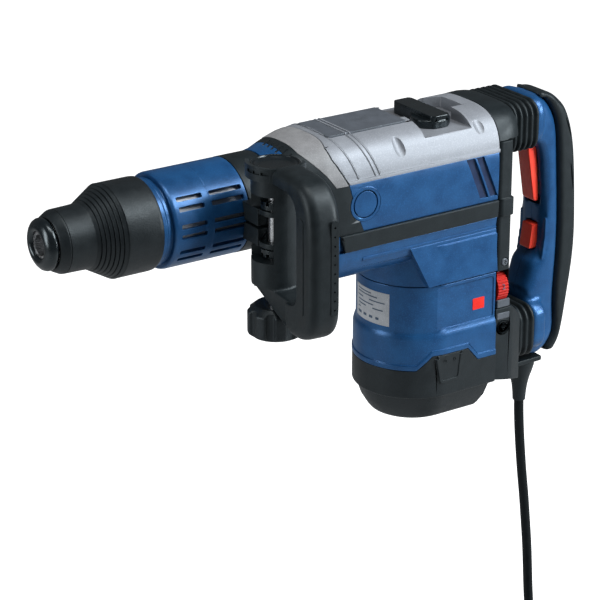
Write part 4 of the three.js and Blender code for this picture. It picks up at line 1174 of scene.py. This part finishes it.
def make_bow():
    outer, gap = bow_outline()
    bow = prism(outer, -14, 14, "y")
    rounded(bow, 8, 50)
    cut(bow, prism(gap, -30, 30, "y"))
    # The web under the finger gap is sunk a little behind the grip's sides.
    web = [(-30, -47.2), (41.5, -47.2), (41.5, -68), (33, -67.5), (-30, -47.4)]
    for side in (1, -1):
        cut(bow, prism(web, side * 11, side * 20, "y"))
    join(bow, rod(20, -47, 50, "z"))
    softened(bow, 1.0, 4)
    # A raised pad on each side and a raised, dotted strip along the outer edge.
    for side in (1, -1):
        pad = prism([(b, a) for b, a in round_rect((63.5, 71.5), (-50, 30), 3)], side * 13, side * 14.4, "y")
        join(bow, pad)
    join(bow, prism(round_rect((3.6, 10), (-48, 30), 2), 80, 84.9, "x"))
    cut(bow, gather([moved(rod(0.85, 84.1, 90, "x", 16), y=6.8, z=25 - 7.6 * i) for i in range(10)]))
    moved(bow, turn=math.pi / 2)

    # The collar round the cap, with slots under its rim, and the open window round the bolt.
    facing = math.radians(57)
    collar = common(tube(24.4, 21.5, 45, 56.6, "z"), moved(block((-1, 40), (-40, 40), (40, 60)), turn=facing))
    join(bow, collar)
    for lean in (-52, -34, -16):
        cut(bow, moved(block((22.8, 30), (-3.4, 3.4), (50.6, 53.4)), turn=facing + math.radians(lean)))
    cut(bow, block((-30, 30), (-30, 5), (-16.4, 16.4)), rod(13.6, -16.4, 16.4, "z"), rod(21.4, 50, 70, "z"),
        moved(block((-2, 30), (-30, 0), (-25, 31)), turn=facing),
        rod(24.2, -100, -65.2, "z"), rod(6.3, -90, 90, "z"))
    at_bolt(bow, BOW_TURN)
    piece(bow, "bow_grip", "bow", "rubber", ["bow_handle"], bevel=0)

    upper = moved(toothed_ring(6.6, 12.4, 16.6, 23, 12, 3), z=1)
    lower = moved(toothed_ring(6.6, 12.4, 16.6, 23, 12, 3), turn=math.pi, axis="X")
    piece(at_bolt(gather([upper, lower]), BOW_TURN), "swivel_crowns", "bow", "satin", bevel=0.2)


def make_knob():
    lobes = 8
    outline = []
    for i in range(lobes * 24):
        angle = 2 * math.pi * i / (lobes * 24)
        r = 23.5 - 3 * min(1, max(0, 1.8 * math.cos(lobes * angle)))
        outline.append((r * math.cos(angle), r * math.sin(angle)))
    grip = prism(outline, -92, -65.5, "z")
    limits = [(-92, 0), (-92, 20), (-90, 23), (-87, 26), (-73, 26), (-68, 20), (-65.5, 17), (-65.5, 0)]
    common(grip, turned(limits, "z"))
    softened(grip, 0.8, 3)
    cut(grip, rod(6.3, -84.3, -40, "z"))
    piece(at_bolt(grip), "knob_grip", "clamp_knob", "grained", ["clamp_knob"], bevel=0)


def dress_inner_parts():
    """The CAD solids that stay as they are take a finish by their material slot."""
    finish_of = {slot: finish for finish, slot in reversed(SLOT_OF.items())}
    slots = {sub["node"]: sub["material_slot"] for sub in frame["record"]["subparts"]}
    for name, node in frame["nodes"].items():
        if node.hide_render:
            continue
        node.data.materials.clear()
        node.data.materials.append(looks[finish_of[slots[name]]])


make_camera()
looks = make_materials()
make_studio()
make_cord()
make_chuck()
make_barrel()
make_front_cover()
make_top_cover()
make_side_panels()
make_gear_housing()
make_motor_housing()
make_base_cap()
make_rear_frame()
make_lower_rear()
make_bellows()
make_handle()
make_controls()
make_clamp()
make_bow()
make_knob()
dress_inner_parts()
